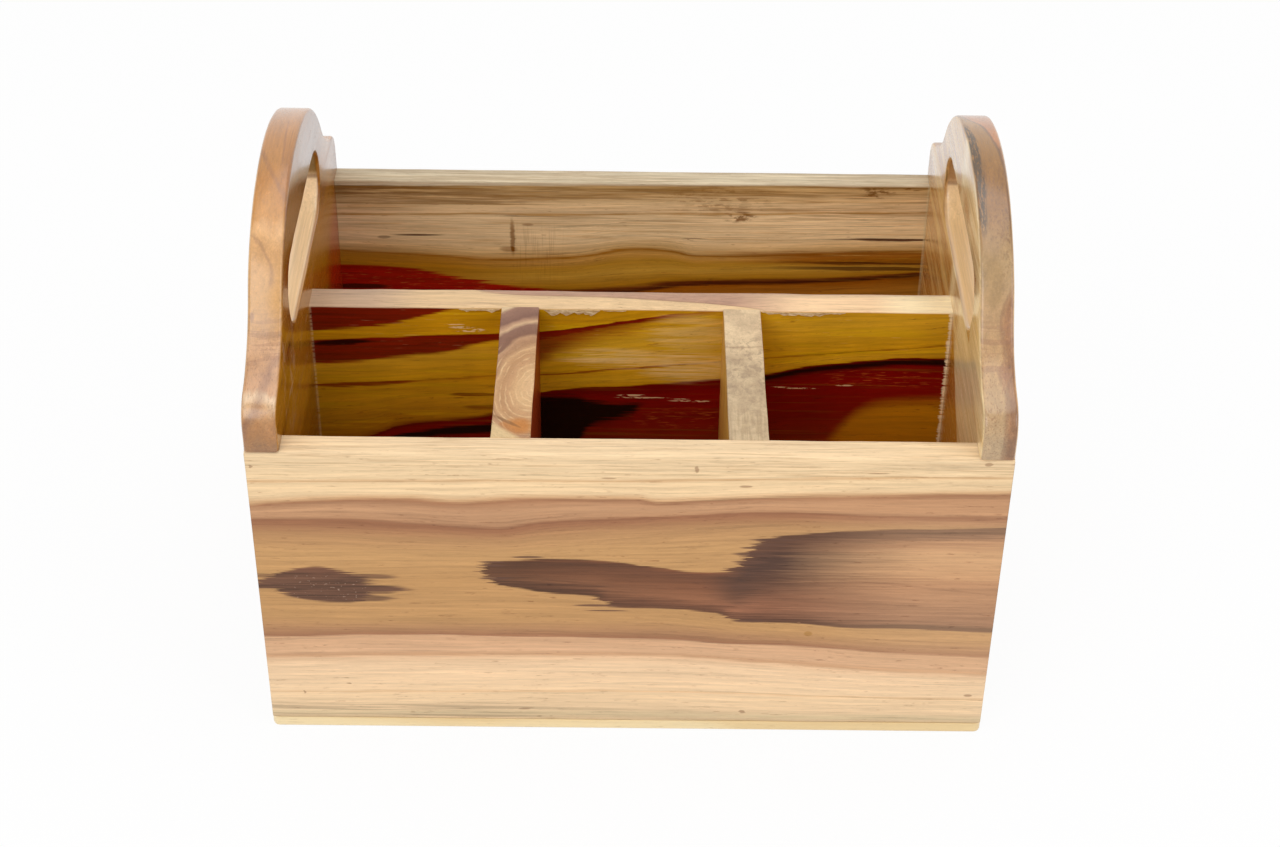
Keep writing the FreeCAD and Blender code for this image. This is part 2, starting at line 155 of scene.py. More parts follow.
class Finish:
    """A procedural finish, drawn in millimetres on the object's own coordinates."""

    def __init__(self, name):
        self.material = bpy.data.materials.new(name)
        self.material.use_nodes = True
        self.tree = self.material.node_tree
        self.tree.nodes.clear()
        where = self.add("ShaderNodeTexCoord").outputs["Object"]
        scaled = self.add("ShaderNodeMapping", {"Vector": where, "Scale": (1000, 1000, 1000)})
        split = self.add("ShaderNodeSeparateXYZ", {0: scaled.outputs[0]})
        self.axes = [Signal(self, split.outputs[i]) for i in range(3)]

    def add(self, kind, inputs=None, **settings):
        return add_node(self.tree, kind, inputs, **settings)

    def math(self, operation, a, b=0.0):
        return Signal(self, self.add("ShaderNodeMath", {0: a, 1: b}, operation=operation).outputs[0])

    def away(self, across, up):
        """The distance from where both signals are 0."""
        return self.math("SQRT", across * across + up * up)

    def noise(self, x, y, z, detail=2.0, roughness=0.55):
        """Soft noise round 0.5, one lump to each unit of x, y and z. Plain numbers say how many lumps there
        are to a millimetre of the object's own axes."""
        if not isinstance(x, Signal):
            x, y, z = (axis if lumps == 1 else axis * lumps for axis, lumps in zip(self.axes, (x, y, z)))
        at = self.add("ShaderNodeCombineXYZ", {0: x, 1: y, 2: z}).outputs[0]
        inputs = {"Vector": at, "Scale": 1.0, "Detail": detail, "Roughness": roughness}
        return Signal(self, self.add("ShaderNodeTexNoise", inputs).outputs[0])

    def line(self, along, points):
        """The height of a line drawn through these points, at a place along it."""
        node = self.add("ShaderNodeFloatCurve", {"Value": along * (1 / line_length) + 0.5})
        curve = node.mapping.curves[0]
        spots = [(a / line_length + 0.5, b / line_height) for a, b in points]
        curve.points[0].location = spots[0]
        curve.points[1].location = spots[-1]
        for spot in spots[1:-1]:
            curve.points.new(*spot)
        for point in curve.points:
            point.handle_type = "AUTO_CLAMPED"
        node.mapping.update()
        return Signal(self, node.outputs[0]) * line_height

    def flow(self, along, height, lines):
        """Height measured between drawn grain lines, so that level figure follows them. Each line is a
        level and its points."""
        drawn = [self.line(along, points) if len(points) > 1 else points[0][1] for level, points in lines]
        total = lines[0][0]
        for i in range(len(lines) - 1):
            step = height.rise(drawn[i], drawn[i + 1], smooth=False)
            total = step * (lines[i + 1][0] - lines[i][0]) + total
        return total

    def spot(self, across, up, at, radii, soft=0.5):
        """1 inside a small oval mark, 0 outside."""
        a = (across - at[0]) * (1 / radii[0])
        b = (up - at[1]) * (1 / radii[1])
        return (a * a + b * b).rise(1.0 + soft, 1.0 - soft)

    def spots(self, across, up, marks, soft=0.5):
        """Several oval marks at once, each given as its middle and its radii."""
        total = None
        for at, radii in marks:
            one = self.spot(across, up, at, radii, soft)
            total = one if total is None else total.most(one)
        return total

    def ramp(self, value, low, high, stops):
        """Colour read from stops of (value, red, green, blue) between low and high."""
        band = self.add("ShaderNodeValToRGB", {0: value.rise(low, high, smooth=False)})
        elements = band.color_ramp.elements
        marks = [((at - low) / (high - low), tone(*colour)) for at, *colour in stops]
        elements[0].position, elements[0].color = marks[0]
        elements[1].position, elements[1].color = marks[-1]
        for at, colour in marks[1:-1]:
            elements.new(at).color = colour
        return Paint(self, band.outputs[0])

    def mix(self, factor, a, b, blend="MIX"):
        """From a to b. A colour is a paint, or three screen values, or four in linear light."""
        a, b = (tone(*c) if isinstance(c, tuple) and len(c) == 3 else c for c in (a, b))
        node = self.add("ShaderNodeMix", {0: factor, 6: a, 7: b}, data_type="RGBA", blend_type=blend)
        return Paint(self, node.outputs[2])

    def close(self, colour, height, roughness, bump=0.25, coat=0.1, metallic=0.0, specular=0.5):
        """Ends the finish with its shader."""
        relief = self.add("ShaderNodeBump", {"Height": height, "Strength": bump, "Distance": 0.0004})
        shader = self.add("ShaderNodeBsdfPrincipled", {
            "Base Color": colour,
            "Roughness": roughness,
            "Normal": relief.outputs[0],
            "Coat Weight": coat,
            "Coat Roughness": 0.2,
            "Metallic": metallic,
            "Specular IOR Level": specular,
        })
        self.add("ShaderNodeOutputMaterial", {"Surface": shader.outputs[0]})
        return self.material


def lacquered(f, colour, along, up, across, streak=0.2, pore=0.45, gloss=0.32, bump=0.25, coat=0.05,
              specular=0.22):
    """Grain, pores and lacquer over a board's figure. The grain runs along the first coordinate."""
    broad = f.noise(along * 0.009, up * 0.38, across * 0.38, 3, 0.6)
    fine = f.noise(along * 0.02, up * 1.1, across * 1.1, 4, 0.78)
    threads = f.noise(along * 0.01, up * 0.95, across * 0.95, 3, 0.6)
    pores = f.noise(along * 0.15, up * 2.3, across * 2.3, 2, 0.6)
    flecks = f.noise(along * 0.05, up * 0.9, across * 0.9, 2, 0.5)
    thread = threads.rise(0.58, 0.74)
    change = broad.stray(streak * 1.8) + fine.stray(streak * 2.9) - thread * (streak * 0.75)
    colour.shade(change + 1)
    pit = pores.rise(0.6, 0.72) * flecks.rise(0.42, 0.62)
    colour.lay(pit * pore, f.mix(1, colour, (150, 105, 72), "MULTIPLY"))
    height = fine * 0.5 - pit + broad * 0.2 - thread * 0.3
    roughness = fine.stray(0.22) + pit * 0.25 + gloss
    return f.close(colour, height, roughness, bump, coat, specular=specular)


def front_figure():
    """Cream sapwood edges, tan heartwood with frayed dark streaks, all running along X."""
    f = Finish("front_board_teak")
    x, y, z = f.axes
    wander = f.noise(0.012, 0.1, 0.1, 2)
    ragged = f.noise(0.03, 0.5, 0.9, 3, 0.6)
    fibre = f.noise(0.034, 0.4, 1.5, 3, 0.7)
    strand = f.noise(0.016, 0.4, 0.75, 4, 0.75)
    up = z + wander.stray(1.6) + ragged.stray(1.7)
    fuzzy = up + fibre.stray(1.8) + strand.stray(1.4)
    level = f.flow(x, fuzzy, [
        (0, [(0, 0)]),
        (22.6, [(-153, 20.2), (-60, 21.6), (5, 22.6), (60, 21), (153, 19.5)]),
        (43, [(-153, 40.5), (-94, 41.9), (4, 43.2), (60, 40), (105, 36.5), (153, 34)]),
        (52.3, [(-153, 51.7), (-94, 53.2), (4, 52.3), (29, 51.5), (45, 50), (72, 49.2), (105, 45.7),
                (153, 43.6)]),
        (62, [(-153, 62), (-94, 61), (4, 62), (50, 58), (105, 53.5), (153, 52)]),
        (80, [(-153, 80), (-60, 84), (0, 81), (60, 80), (153, 78)]),
        (104, [(-153, 102), (-54, 100.5), (-34, 102.5), (4, 106), (70, 110), (153, 110)]),
        (117.4, [(-153, 114.3), (-122, 114.7), (-91, 113), (-54, 110.9), (-34, 114.3), (4, 117.4),
                 (29, 119.2), (60, 121), (100, 119.5), (153, 119)]),
        (126.6, [(-153, 122), (-126, 124.9), (-90, 125.9), (-70, 124.1), (-44, 126), (3, 126.6), (12, 125),
                 (30, 126.5), (58, 128.4), (89, 129.3), (153, 131.6)]),
        (135.5, [(-153, 134), (-75, 135.2), (0, 136), (60, 138), (153, 139.5)]),
        (150, [(0, 150)]),
    ])
    colour = f.ramp(level, 0, 150, [
        (5.5, 214, 184, 146), (9, 214, 191, 152), (12, 232, 201, 161), (21.6, 241, 208, 166),
        (22.5, 225, 185, 140), (23.5, 241, 208, 167), (38, 238, 203, 163), (41.5, 231, 192, 152),
        (43, 207, 160, 120), (45, 218, 174, 135), (51.6, 212, 167, 128), (52.5, 160, 112, 80),
        (56, 176, 130, 91), (63, 193, 147, 96), (80, 191, 145, 93), (99, 198, 152, 100), (109, 184, 138, 93),
        (114.5, 162, 112, 78), (117.1, 152, 102, 71), (118.4, 187, 140, 102), (122, 196, 149, 110),
        (124.5, 184, 137, 100), (126, 168, 119, 84), (127, 204, 160, 116), (129.4, 238, 205, 160),
        (134.6, 237, 205, 160), (135.4, 214, 171, 124), (136.3, 236, 205, 161), (148, 234, 204, 162),
    ])
    colour.lay(x.rise(20, 110) * level.band(116, 120, 124, 126.6) * 0.4, (198, 147, 106))
    # The long streak and the right-hand figure that it opens into, frayed where they taper.
    frays = f.noise(0.03, 0.3, 0.8, 2, 0.6)
    slid = x + frays.stray(10) + fibre.stray(20)
    high = f.line(slid, [
        (-62, 86), (-59, 92), (-56.9, 93.4), (-44.5, 94.4), (-35.7, 95.4), (-28.5, 95.5), (-14, 95.1),
        (-0.6, 93.8), (12.9, 91.6), (28, 89.3), (38, 89.9), (44, 92.4), (49, 100), (56, 107.2), (72, 110),
        (95, 112.4), (126, 113.3), (155, 114.7),
    ])
    low = f.line(slid, [
        (-62, 90), (-58, 85.5), (-54, 80.9), (-44.3, 78.9), (-32.8, 76.7), (-18, 75.5), (-12.5, 74.9),
        (-10.4, 72.5), (-6.2, 69.5), (13.3, 68.6), (29, 67.6), (39, 66.2), (44, 62.6), (72, 61.5), (89, 59.5),
        (115, 58.8), (155, 57.1),
    ])
    inside = up.rise(low - 0.3, low + 0.7) * (high - up).rise(0, 0.9)
    share = (up + strand.stray(14)).rise(low, high, smooth=False)
    left_part = f.ramp(share, 0, 1, [
        (0, 92, 58, 40), (0.14, 108, 68, 48), (0.36, 138, 90, 62), (0.6, 122, 76, 51), (0.9, 100, 61, 42),
        (1, 112, 68, 44),
    ])
    right_part = f.ramp(share, 0, 1, [
        (0, 80, 54, 42), (0.035, 104, 71, 54), (0.09, 150, 105, 78), (0.33, 172, 123, 88),
        (0.46, 180, 128, 90), (0.54, 200, 150, 106), (0.74, 204, 157, 112), (0.86, 182, 132, 94),
        (0.925, 112, 76, 57), (1, 96, 64, 50),
    ])
    deep = f.ramp(share, 0, 1, [
        (0, 88, 54, 40), (0.22, 148, 97, 70), (0.42, 98, 64, 48), (0.7, 76, 51, 43), (1, 102, 66, 48),
    ])
    left_part.shade(x.rise(-46, 32, smooth=False) * 0.58 + 0.62)
    streak = f.mix(x.rise(26, 50), left_part, deep)
    opening = slid + strand.stray(34) - share * 12
    streak.lay(opening.rise(53, 112, smooth=False), right_part)
    streak.lay(slid.rise(-40, -58) * 0.5, (92, 60, 42))
    rims = (high - up).rise(4.6, 1.4) * x.rise(52, 66) + (up - low).rise(3, 0.9) * x.rise(30, 60)
    streak.lay(rims.least(1) * 0.85, (92, 59, 44))
    line = f.spot(x, up - f.line(x, [(60, 86.5), (96, 84.8), (148, 78.5)]), (124, 0), (34, 0.6))
    streak.lay(line * 0.35, (130, 84, 58))
    calm = x.rise(50, 90).between(1, 0.4)
    streak.shade((strand.stray(0.95) + fibre.stray(0.65)) * calm + 1)
    colour.lay(inside * 0.97, streak)
    # Thin spikes that run out of the streak into the tan wood.
    thin = x + fibre.stray(10)
    spikes = f.spots(thin, z, [
        ((50.5, 98.8), (8, 1)), ((60, 106.4), (10, 0.8)), ((57, 104), (8, 0.7)), ((52, 102.2), (6, 0.6)),
        ((50, 94.6), (7, 0.8)), ((-13, 70.4), (9, 0.6)), ((-9, 67.6), (9, 0.35)), ((50, 62.7), (7, 0.8)),
        ((-56, 93.3), (5, 0.5)), ((-56, 91.4), (5, 0.5)), ((-41, 96.1), (6, 0.5)), ((-55, 84.6), (6, 0.7)),
    ], 0.6)
    colour.lay(spikes * 0.85, (100, 68, 53))
    # The small oval near the left end, with its prongs.
    drift = x + frays.stray(6) + fibre.stray(20)
    roof = f.line(drift, [
        (-156, 80.6), (-149, 83.4), (-145.5, 86), (-137.8, 88.6), (-131, 90.2), (-127, 90.5), (-122.7, 90),
        (-116, 87.6), (-109, 85.6), (-102, 82),
    ])
    keel = f.line(drift, [
        (-156, 78.8), (-147, 78), (-141.3, 74.6), (-133.4, 72.2), (-124, 70.8), (-115.5, 70.6), (-109, 71.8),
        (-102, 76),
    ])
    oval = up.rise(keel - 0.5, keel + 0.9) * (roof - up).rise(-0.4, 1) * drift.rise(-102, -110)
    for at, radii, fill in [
        ((-108, 85.2), (12, 1.3), 0.75), ((-105, 78.4), (14, 1.9), 1), ((-108, 73.2), (11, 1.7), 0.8),
        ((-152, 79.7), (12, 1.5), 1), ((-150, 84.6), (8, 1), 0.6), ((-102, 76.2), (8, 0.6), 0.7),
    ]:
        oval = oval.most(f.spot(drift, up, at, radii, 0.6) * fill)
    dots = f.noise(0.7, 1, 1.2, 1).rise(0.68, 0.74) * f.spot(x, z, (-126, 78), (18, 8))
    core = f.mix(strand.rise(0.36, 0.64), (76, 50, 39), (112, 75, 58))
    core.lay(up.rise(83, 91) * 0.5, (124, 76, 56))
    colour.lay(oval * 0.95, f.mix(dots * 0.6, core, (186, 156, 136)))
    # Pin marks, one filled hole, and the greyer streaks at the foot and under the rim.
    marks = f.spots(x + ragged.stray(3), z, [
        ((26.7, 142.1), (0.8, 1.7)), ((46.4, 133.8), (2.6, 0.6)), ((142, 146), (1.6, 0.9)),
        ((145.4, 21.6), (1.7, 0.7)), ((49.4, 10.9), (1.3, 0.9)), ((-137.5, 20.1), (0.5, 0.9)),
        ((-8, 137.2), (3, 0.4)), ((-43.8, 11.5), (2.6, 0.5)), ((-118, 25.2), (1, 0.4)),
        ((99, 141), (4.2, 0.3)), ((-150.2, 141.3), (0.7, 0.8)), ((71, 61.8), (0.8, 0.6)),
    ])
    colour.lay(marks * 0.6, (150, 108, 76))
    colour.lay(f.spot(x, z, (75.3, 56), (1.7, 1.3)) * 0.7, (168, 120, 56))
    foot = f.noise(0.012, 0.3, 0.9, 3).rise(0.48, 0.6) * z.rise(19, 10)
    colour.lay(foot * x.rise(60, -80) * 0.7, (166, 144, 114))
    rim_lines = f.noise(0.02, 0.9, 0.9, 4, 0.75).rise(0.5, 0.64) * z.rise(129, 140)
    colour.lay(rim_lines * 0.4, (176, 138, 96))
    colour.lay(x.rise(60, 130) * level.band(34, 44, 112, 122) * 0.25, (218, 176, 136))
    return lacquered(f, colour, x, level, y, streak=0.25)


def back_figure():
    """Greyish tan over gold, with a maroon wedge at the left and dark lines rising to the right."""
    f = Finish("back_board_teak")
    x, y, z = f.axes
    wander = f.noise(0.012, 0.1, 0.12, 2)
    ragged = f.noise(0.035, 0.5, 0.9, 3, 0.6)
    strand = f.noise(0.02, 0.4, 0.8, 4, 0.75)
    up = z + wander.stray(1.8) + ragged.stray(2.2)
    level = f.flow(x, up, [
        (58, [(0, 58)]),
        (84, [(-153, 83), (-60, 80), (0, 82), (60, 86), (153, 92)]),
        (90, [(-153, 89), (-60, 87), (0, 89), (20, 92.2), (51, 94.3), (82, 94.9), (153, 101)]),
        (110, [(-153, 110.8), (-96, 107.4), (-65, 105.6), (-29, 107), (3, 112.4), (18, 111.6), (32, 108.6),
               (60, 109), (100, 111.2), (153, 113.5)]),
        (132, [(-153, 130.2), (0, 131.5), (153, 134.2)]),
        (139, [(-153, 137), (0, 139.5), (153, 142.5)]),
        (150, [(0, 150)]),
    ])
    colour = f.ramp(level, 58, 150, [
        (58, 166, 116, 44), (72, 182, 132, 52), (84, 176, 122, 40), (88.6, 152, 88, 6), (89.4, 64, 16, 6),
        (91.2, 112, 54, 12), (93, 176, 127, 24), (99, 193, 152, 56), (104, 184, 139, 42), (106, 194, 146, 62),
        (108.6, 196, 150, 76), (109.8, 150, 98, 14), (111.4, 204, 168, 108), (118, 232, 205, 158),
        (131.2, 230, 202, 157), (131.9, 170, 124, 56), (132.8, 224, 193, 148), (137, 218, 187, 140),
        (141, 202, 168, 118), (146.5, 188, 152, 98), (148.6, 210, 194, 168),
    ])
    olive = f.noise(0.01, 0.3, 0.55, 4, 0.7).rise(0.46, 0.6)
    reach = up.rise(112, 145) * z.rise(148.6, 147.2)
    colour.lay(olive * reach * 0.72, (132, 92, 38))
    hairs = f.noise(0.012, 0.5, 2.6, 3, 0.7)
    colour.lay(hairs.rise(0.56, 0.66) * up.rise(104, 122) * z.rise(148, 146.5) * 0.45, (128, 92, 46))
    corner = x.rise(-20, -110) * up.rise(134, 143) * z.rise(148.4, 147)
    colour.lay(corner * strand.rise(0.38, 0.56) * 0.8, (100, 58, 6))
    gilt = level.band(93, 100, 108.8, 109.6) * x.rise(-40, -96)
    colour.lay(gilt * 0.75, (168, 114, 6))
    colour.shade(x.rise(0, 90) * level.rise(110, 116) * 0.18 + 0.98)
    golden = strand.rise(0.52, 0.66) * z.rise(147.4, 146)
    colour.lay(golden * 0.28, (182, 128, 48))
    frayed = up + strand.stray(x.rise(-125, -90)) * 7
    wedge = f.line(x, [(-153, 102.8), (-107, 100.6), (-86, 96.4), (-70, 93), (-45, 89.5), (-10, 88)])
    maroon = (wedge - frayed).rise(-0.4, 1.4)
    colour.lay(maroon * up.rise(60, 76) * x.rise(10, -30) * 0.97,
               f.mix(ragged.rise(0.3, 0.7), (138, 1, 1), (162, 5, 4)))
    flecks = f.noise(0.16, 1, 1.6, 2).rise(0.6, 0.68)
    colour.lay(maroon * flecks * x.rise(-20, -60) * 0.36, (190, 110, 60))
    black = f.spot(x, up, (-130, 89.6), (14, 1.4)) + f.spot(x, z - x * 0.01, (-101, 119.8), (11, 0.45), 0.8)
    black += x.rise(78, 112) * f.spot(x, up, (130, 119), (60, 0.6), 0.8)
    black = black + f.spot(x, up, (-117, 117.6), (3, 0.9)) * 0.5 + f.spot(x, up, (30, 118.5), (6, 0.4)) * 0.6
    band = (x + strand.stray(60)).rise(34, 96) * up.rise(103, 105.6) * (112.5 - up).rise(0, 1.5)
    colour.lay(band * strand.rise(0.3, 0.5) * 0.85, (146, 84, 6))
    edge = x.rise(54, 100) * (f.spot(x, up, (110, 105.4), (90, 0.7)) + f.spot(x, up, (120, 102.4), (70, 1)))
    colour.lay((black + edge * 0.8).least(1) * 0.92, (62, 16, 6))
    smear = f.spot(x + ragged.stray(2.4), z, (-56.3, 118), (1.1, 9), 0.9)
    smear += f.spot(x + ragged.stray(6), z, (-58.3, 111.4), (4, 1.5), 0.7) * 0.7
    smear += f.spot(x, z, (-49, 125), (2.6, 0.7), 0.7) * 0.7
    ticks = f.noise(1.1, 1, 0.06, 2).rise(0.52, 0.64) * abs(x + 45).rise(17, 5)
    smear += ticks * abs(z - 108).rise(22, 8) * 0.26
    stain = f.spot(x + ragged.stray(16), z + strand.stray(6), (51, 130.4), (7, 2.8), 0.9)
    stain += f.spot(x + ragged.stray(12), z + strand.stray(5), (113, 144.6), (7, 2.8), 0.9)
    stain += f.spot(x, z, (131, 146.6), (5, 0.9), 0.6)
    blot = f.noise(0.22, 1, 0.55, 3, 0.6).rise(0.42, 0.6)
    broad = f.spot(x + strand.stray(60), z, (45, 140), (24, 7), 0.9) * strand.rise(0.4, 0.6)
    colour.lay((smear * 0.75 + (stain * 0.85 + broad * 0.55) * blot).least(1), (120, 74, 20))
    glue = x.rise(137.3, 137.8) * y.band(97, 97.8, 98.2, 98.8)
    colour.lay(glue * 0.5, (226, 200, 150))
    rubbed = f.line(x, [(-153, 145.4), (-90, 145.8), (-20, 146.6), (40, 147.4), (153, 147.8)])
    worn = f.mix(strand.rise(0.36, 0.62), (212, 195, 164), (186, 165, 134))
    colour.lay((z + ragged.stray(1.4) - rubbed).rise(-0.3, 0.5), worn)
    # Its outer face and its ends have kept the plain tan and cream of the front; the darker gold and maroon
    # of the inner face are partly painted shade.
    swell = f.noise(0.006, 0.02, 0.012, 1, 0.5)
    height = z + swell.stray(44) + ragged.stray(1.6)
    rings = (height / 6.1).fract()
    outside = f.ramp(height, 40, 170, [
        (40, 222, 184, 140), (74, 216, 176, 130), (77, 158, 110, 76), (84, 190, 144, 98),
        (108, 198, 152, 104), (118, 166, 118, 82), (120, 150, 104, 72), (123, 224, 186, 140),
        (170, 238, 206, 162),
    ])
    outside.lay(rings.band(0.35, 0.92, 0.95, 1) * 0.3, (146, 98, 62))
    bare = y.rise(108.8, 109.6).most(abs(x).rise(151.2, 151.8)) * z.rise(148.2, 147.4)
    colour.lay(bare, outside)
    return lacquered(f, colour, x, level, y, streak=0.34, coat=0, specular=0.15)


def divider_figure():
    """The long divider: gold face with maroon heartwood, and a cream top edge with a pinkish streak."""
    f = Finish("long_divider_teak")
    x, y, z = f.axes
    wander = f.noise(0.012, 0.1, 0.12, 2)
    ragged = f.noise(0.045, 0.5, 0.8, 3, 0.65)
    strand = f.noise(0.02, 0.4, 0.8, 4, 0.75)
    up = z + wander.stray(1.6) + ragged.stray(2.6)
    level = f.flow(x, up, [
        (60, [(0, 60)]),
        (100, [(-140, 74), (-113, 80), (-104, 84.4), (-85, 87.2), (-62, 90.6), (-50, 97.5), (-39, 102.8),
               (-21, 105.8), (3, 107.2), (39, 111.5), (60, 114.4), (76, 118.4), (104, 122), (123, 123.8),
               (140, 123.5)]),
        (112, [(-140, 106.4), (-112, 107.9), (-61, 111.8), (-39, 113.1), (-12, 115.6), (39, 121),
               (140, 131)]),
        (133, [(-140, 130.3), (-97, 133.2), (-59, 135.2), (-39, 136.5), (-21, 138.8), (3, 142.8), (30, 147.5),
               (50, 152), (140, 156)]),
        (175, [(0, 175)]),
    ])
    # The face's gold and maroon are partly painted shade, darker and more saturated than the wood in open
    # light.
    colour = f.ramp(level, 60, 175, [
        (60, 128, 50, 8), (82, 124, 14, 4), (94, 124, 4, 2), (99.4, 106, 2, 2), (100.2, 108, 10, 2),
        (101, 198, 144, 16), (104, 206, 154, 30), (111.4, 202, 148, 20), (112, 162, 100, 12),
        (112.7, 204, 150, 20), (124, 206, 156, 36), (131, 200, 144, 20), (132.6, 150, 84, 10),
        (133.3, 196, 140, 14), (150, 186, 130, 12),
    ])
    colour.lay(level.rise(111, 100.5) * level.rise(99, 100.6) * x.rise(-40, -90) * 0.7, (153, 99, 10))
    # Gold flame: soft vertical waves and olive streaks across the oiled face.
    flame = f.noise(0.055, 1, 0.02, 2)
    colour.shade(flame.stray(0.35) + 1)
    olive = f.noise(0.01, 0.3, 0.6, 3, 0.65).rise(0.52, 0.68)
    colour.lay(olive * 0.3, (136, 92, 10))
    red_low = f.line(x, [
        (-140, 118), (-124, 118.8), (-109, 121.2), (-94, 123.2), (-82, 124.8), (-71, 128.2), (-59, 131.6),
        (-39, 134), (-21, 137.6), (3, 142.2),
    ])
    red_high = f.line(x, [(-140, 130.3), (-97, 133.2), (-59, 135.2), (-39, 136.5), (-21, 138.9), (3, 143.2)])
    fringe = up + strand.stray(5)
    red = fringe.rise(red_low - 1.6, red_low + 0.8) * (red_high - up).rise(0, 0.8) * x.rise(30, 0)
    foot = f.line(x, [(-140, 134.4), (-123, 136.2), (-110, 138.2), (-98, 140.6), (-84, 145), (-60, 151)])
    wedge = (fringe - foot).rise(-0.6, 1.2) * x.rise(-58, -80)
    under = f.line(x, [(-45, 116), (-39.4, 121.3), (-30.4, 128.6), (-15.6, 135.4), (-1, 139.7), (12, 146)])
    patch = x.rise(-44, -40) * (up + strand.stray(12) - under).rise(-8, 4) * (red_high - up).rise(0, 0.8)
    red = (red + wedge + patch * 0.85).least(1)
    maroon = f.mix(strand.rise(0.36, 0.64), (100, 1, 2), (124, 6, 3))
    colour.lay(red * 0.96, maroon)
    dark_edge = f.spot(x, up - red_high, (-126, -2), (14, 1.3), 0.6)
    above = f.line(x, [(-41, 101.4), (-26, 102), (-16, 99.6), (-6, 98.4), (4, 99.4), (14, 101)])
    below = f.line(x, [
        (-41, 60), (-26, 70.8), (-21, 80.2), (-16, 86.3), (-6, 89.7), (2.4, 93.3), (4, 96.1), (14, 100.2),
    ])
    soaked = up + strand.stray(9) + ragged.stray(4)
    black = soaked.rise(below - 3, below + 3) * (above - soaked).rise(-1.5, 2.5)
    black = black * x.rise(-42, -40) * (x + strand.stray(20)).rise(14, 2)
    low_top = f.line(x, [(-112, 76), (-104, 80), (-92, 83), (-62, 87.2), (-56, 88)])
    low_end = f.line(x, [(-112, 70), (-104, 74), (-92, 78), (-62, 81.4), (-56, 82)])
    pool = (low_top - fringe).rise(0, 2) * fringe.rise(low_end - 2, low_end + 1) * x.rise(-52, -56)
    seam_black = level.band(97, 98.6, 99.2, 100.2) * x.rise(54, 58) * strand.rise(0.16, 0.44)
    black = black.most(pool).most((dark_edge * 0.9).most(seam_black * 0.95))
    colour.lay(black * 0.97, (10, 2, 2))
    flecks = f.noise(0.14, 1, 1.5, 2, 0.6).rise(0.56, 0.66)
    dappled = f.spot(x, z, (24, 90), (22, 6), 0.9) + f.spot(x, z, (114, 113), (32, 4.5), 0.9)
    colour.lay((flecks * dappled).least(1) * 0.7, (176, 84, 34))
    thin = f.spot(x, level, (-118, 112), (24, 0.8)) * 0.8 + f.spot(x, level, (-10, 112), (46, 0.5)) * 0.5
    colour.lay(thin, (120, 24, 4))
    brow = f.line(x, [(80, 66), (89.8, 82), (96.3, 90.6), (101, 95.4), (110.7, 99.9), (140, 102.2)])
    lobe = (brow - fringe).rise(-4, 6) * (x + strand.stray(24)).rise(80, 98)
    colour.lay(lobe * 0.92, (186, 125, 12))
    short = f.spot(x, up, (-68, 102), (11, 0.9)) + f.spot(x, fringe, (-65, 95), (8, 1.8), 0.8) * 0.7
    colour.lay(short.least(1) * 0.85, (96, 14, 4))
    # A painted reflection: a pale cream sheen, streaked with the grain, on the face in the middle
    # compartment.
    painted_sheen = f.spot(x + strand.stray(60), up, (-4, 122), (20, 5), 0.9)
    painted_sheen = painted_sheen.most(f.spot(x + strand.stray(50), up, (26, 118.5), (18, 8), 0.9))
    painted_sheen = painted_sheen.most(f.spot(x + strand.stray(50), up, (28, 136), (16, 9), 0.9) * 0.6)
    colour.lay(painted_sheen * strand.rise(0.32, 0.58) * 0.62, (240, 206, 142))
    yellow = f.noise(0.014, 0.3, 0.3, 3, 0.6).rise(0.5, 0.66) * level.rise(100.8, 102)
    colour.lay(yellow * red.rise(0.4, 0.1) * 0.4, (214, 172, 14))
    scratch = f.noise(0.1, 1, 1.6, 2, 0.5)
    broken = f.noise(0.35, 1, 1.1, 2).rise(0.4, 0.5)
    wavy = z + scratch.stray(0.9)
    lines = f.spots(x, wavy, [
        ((5, 101.2), (10.5, 0.34)), ((27, 99.6), (9, 0.35)), ((1, 102.4), (6, 0.4)), ((94, 109), (3.6, 0.4)),
        ((75, 107.2), (7, 0.3)), ((-73, 137.8), (5, 0.6)), ((-70, 135.8), (5, 0.4)), ((-76, 139.2), (4, 0.3)),
        ((-66, 136.6), (3, 0.5)), ((66, 107.8), (4, 0.25)), ((22, 100.6), (4, 0.3)),
    ], 0.6)
    bright = lines * broken + scratch.rise(0.68, 0.72) * z.rise(122, 132) * 0.2
    colour.lay(bright.least(1) * 0.75, (236, 206, 160))
    plain = f.mix(strand.rise(0.35, 0.65), (158, 104, 50), (200, 150, 84))
    colour.lay(y.rise(6.2, 6.9) * 0.8, plain)
    # The top edge has lost its dark oil and lies outside the painted shade that darkens the faces, and shows
    # cream wood with one long pinkish streak.
    seam = f.line(x, [(-140, 34), (-75, 32), (-64, 25.4), (3, 22), (55, 14.6), (62, 12), (140, 10)]) - 20
    behind = (y + wander.stray(3) - seam).rise(-0.6, 1)
    pinkish = f.mix(x.rise(40, 80), (185, 146, 122), (240, 204, 161))
    pinkish.lay(x.rise(102, 122), (250, 228, 184))
    cream = f.mix(x.rise(-84, -116), (223, 190, 146), (196, 166, 137))
    top = f.mix(behind, cream, f.mix(y.rise(7.6, 5) * 0.7 + 0.3, (178, 146, 122), pinkish))
    lines = f.noise(0.014, 0.7, 0.3, 3, 0.7)
    top.lay(lines.rise(0.5, 0.62) * x.rise(20, -100) * 0.5, (172, 142, 122))
    dark_seam = f.spot(x, y - seam, (-4, 0.2), (62, 0.6))
    top.lay(dark_seam * 0.5, (136, 94, 78))
    colour.lay(z.rise(147.2, 147.8), top)
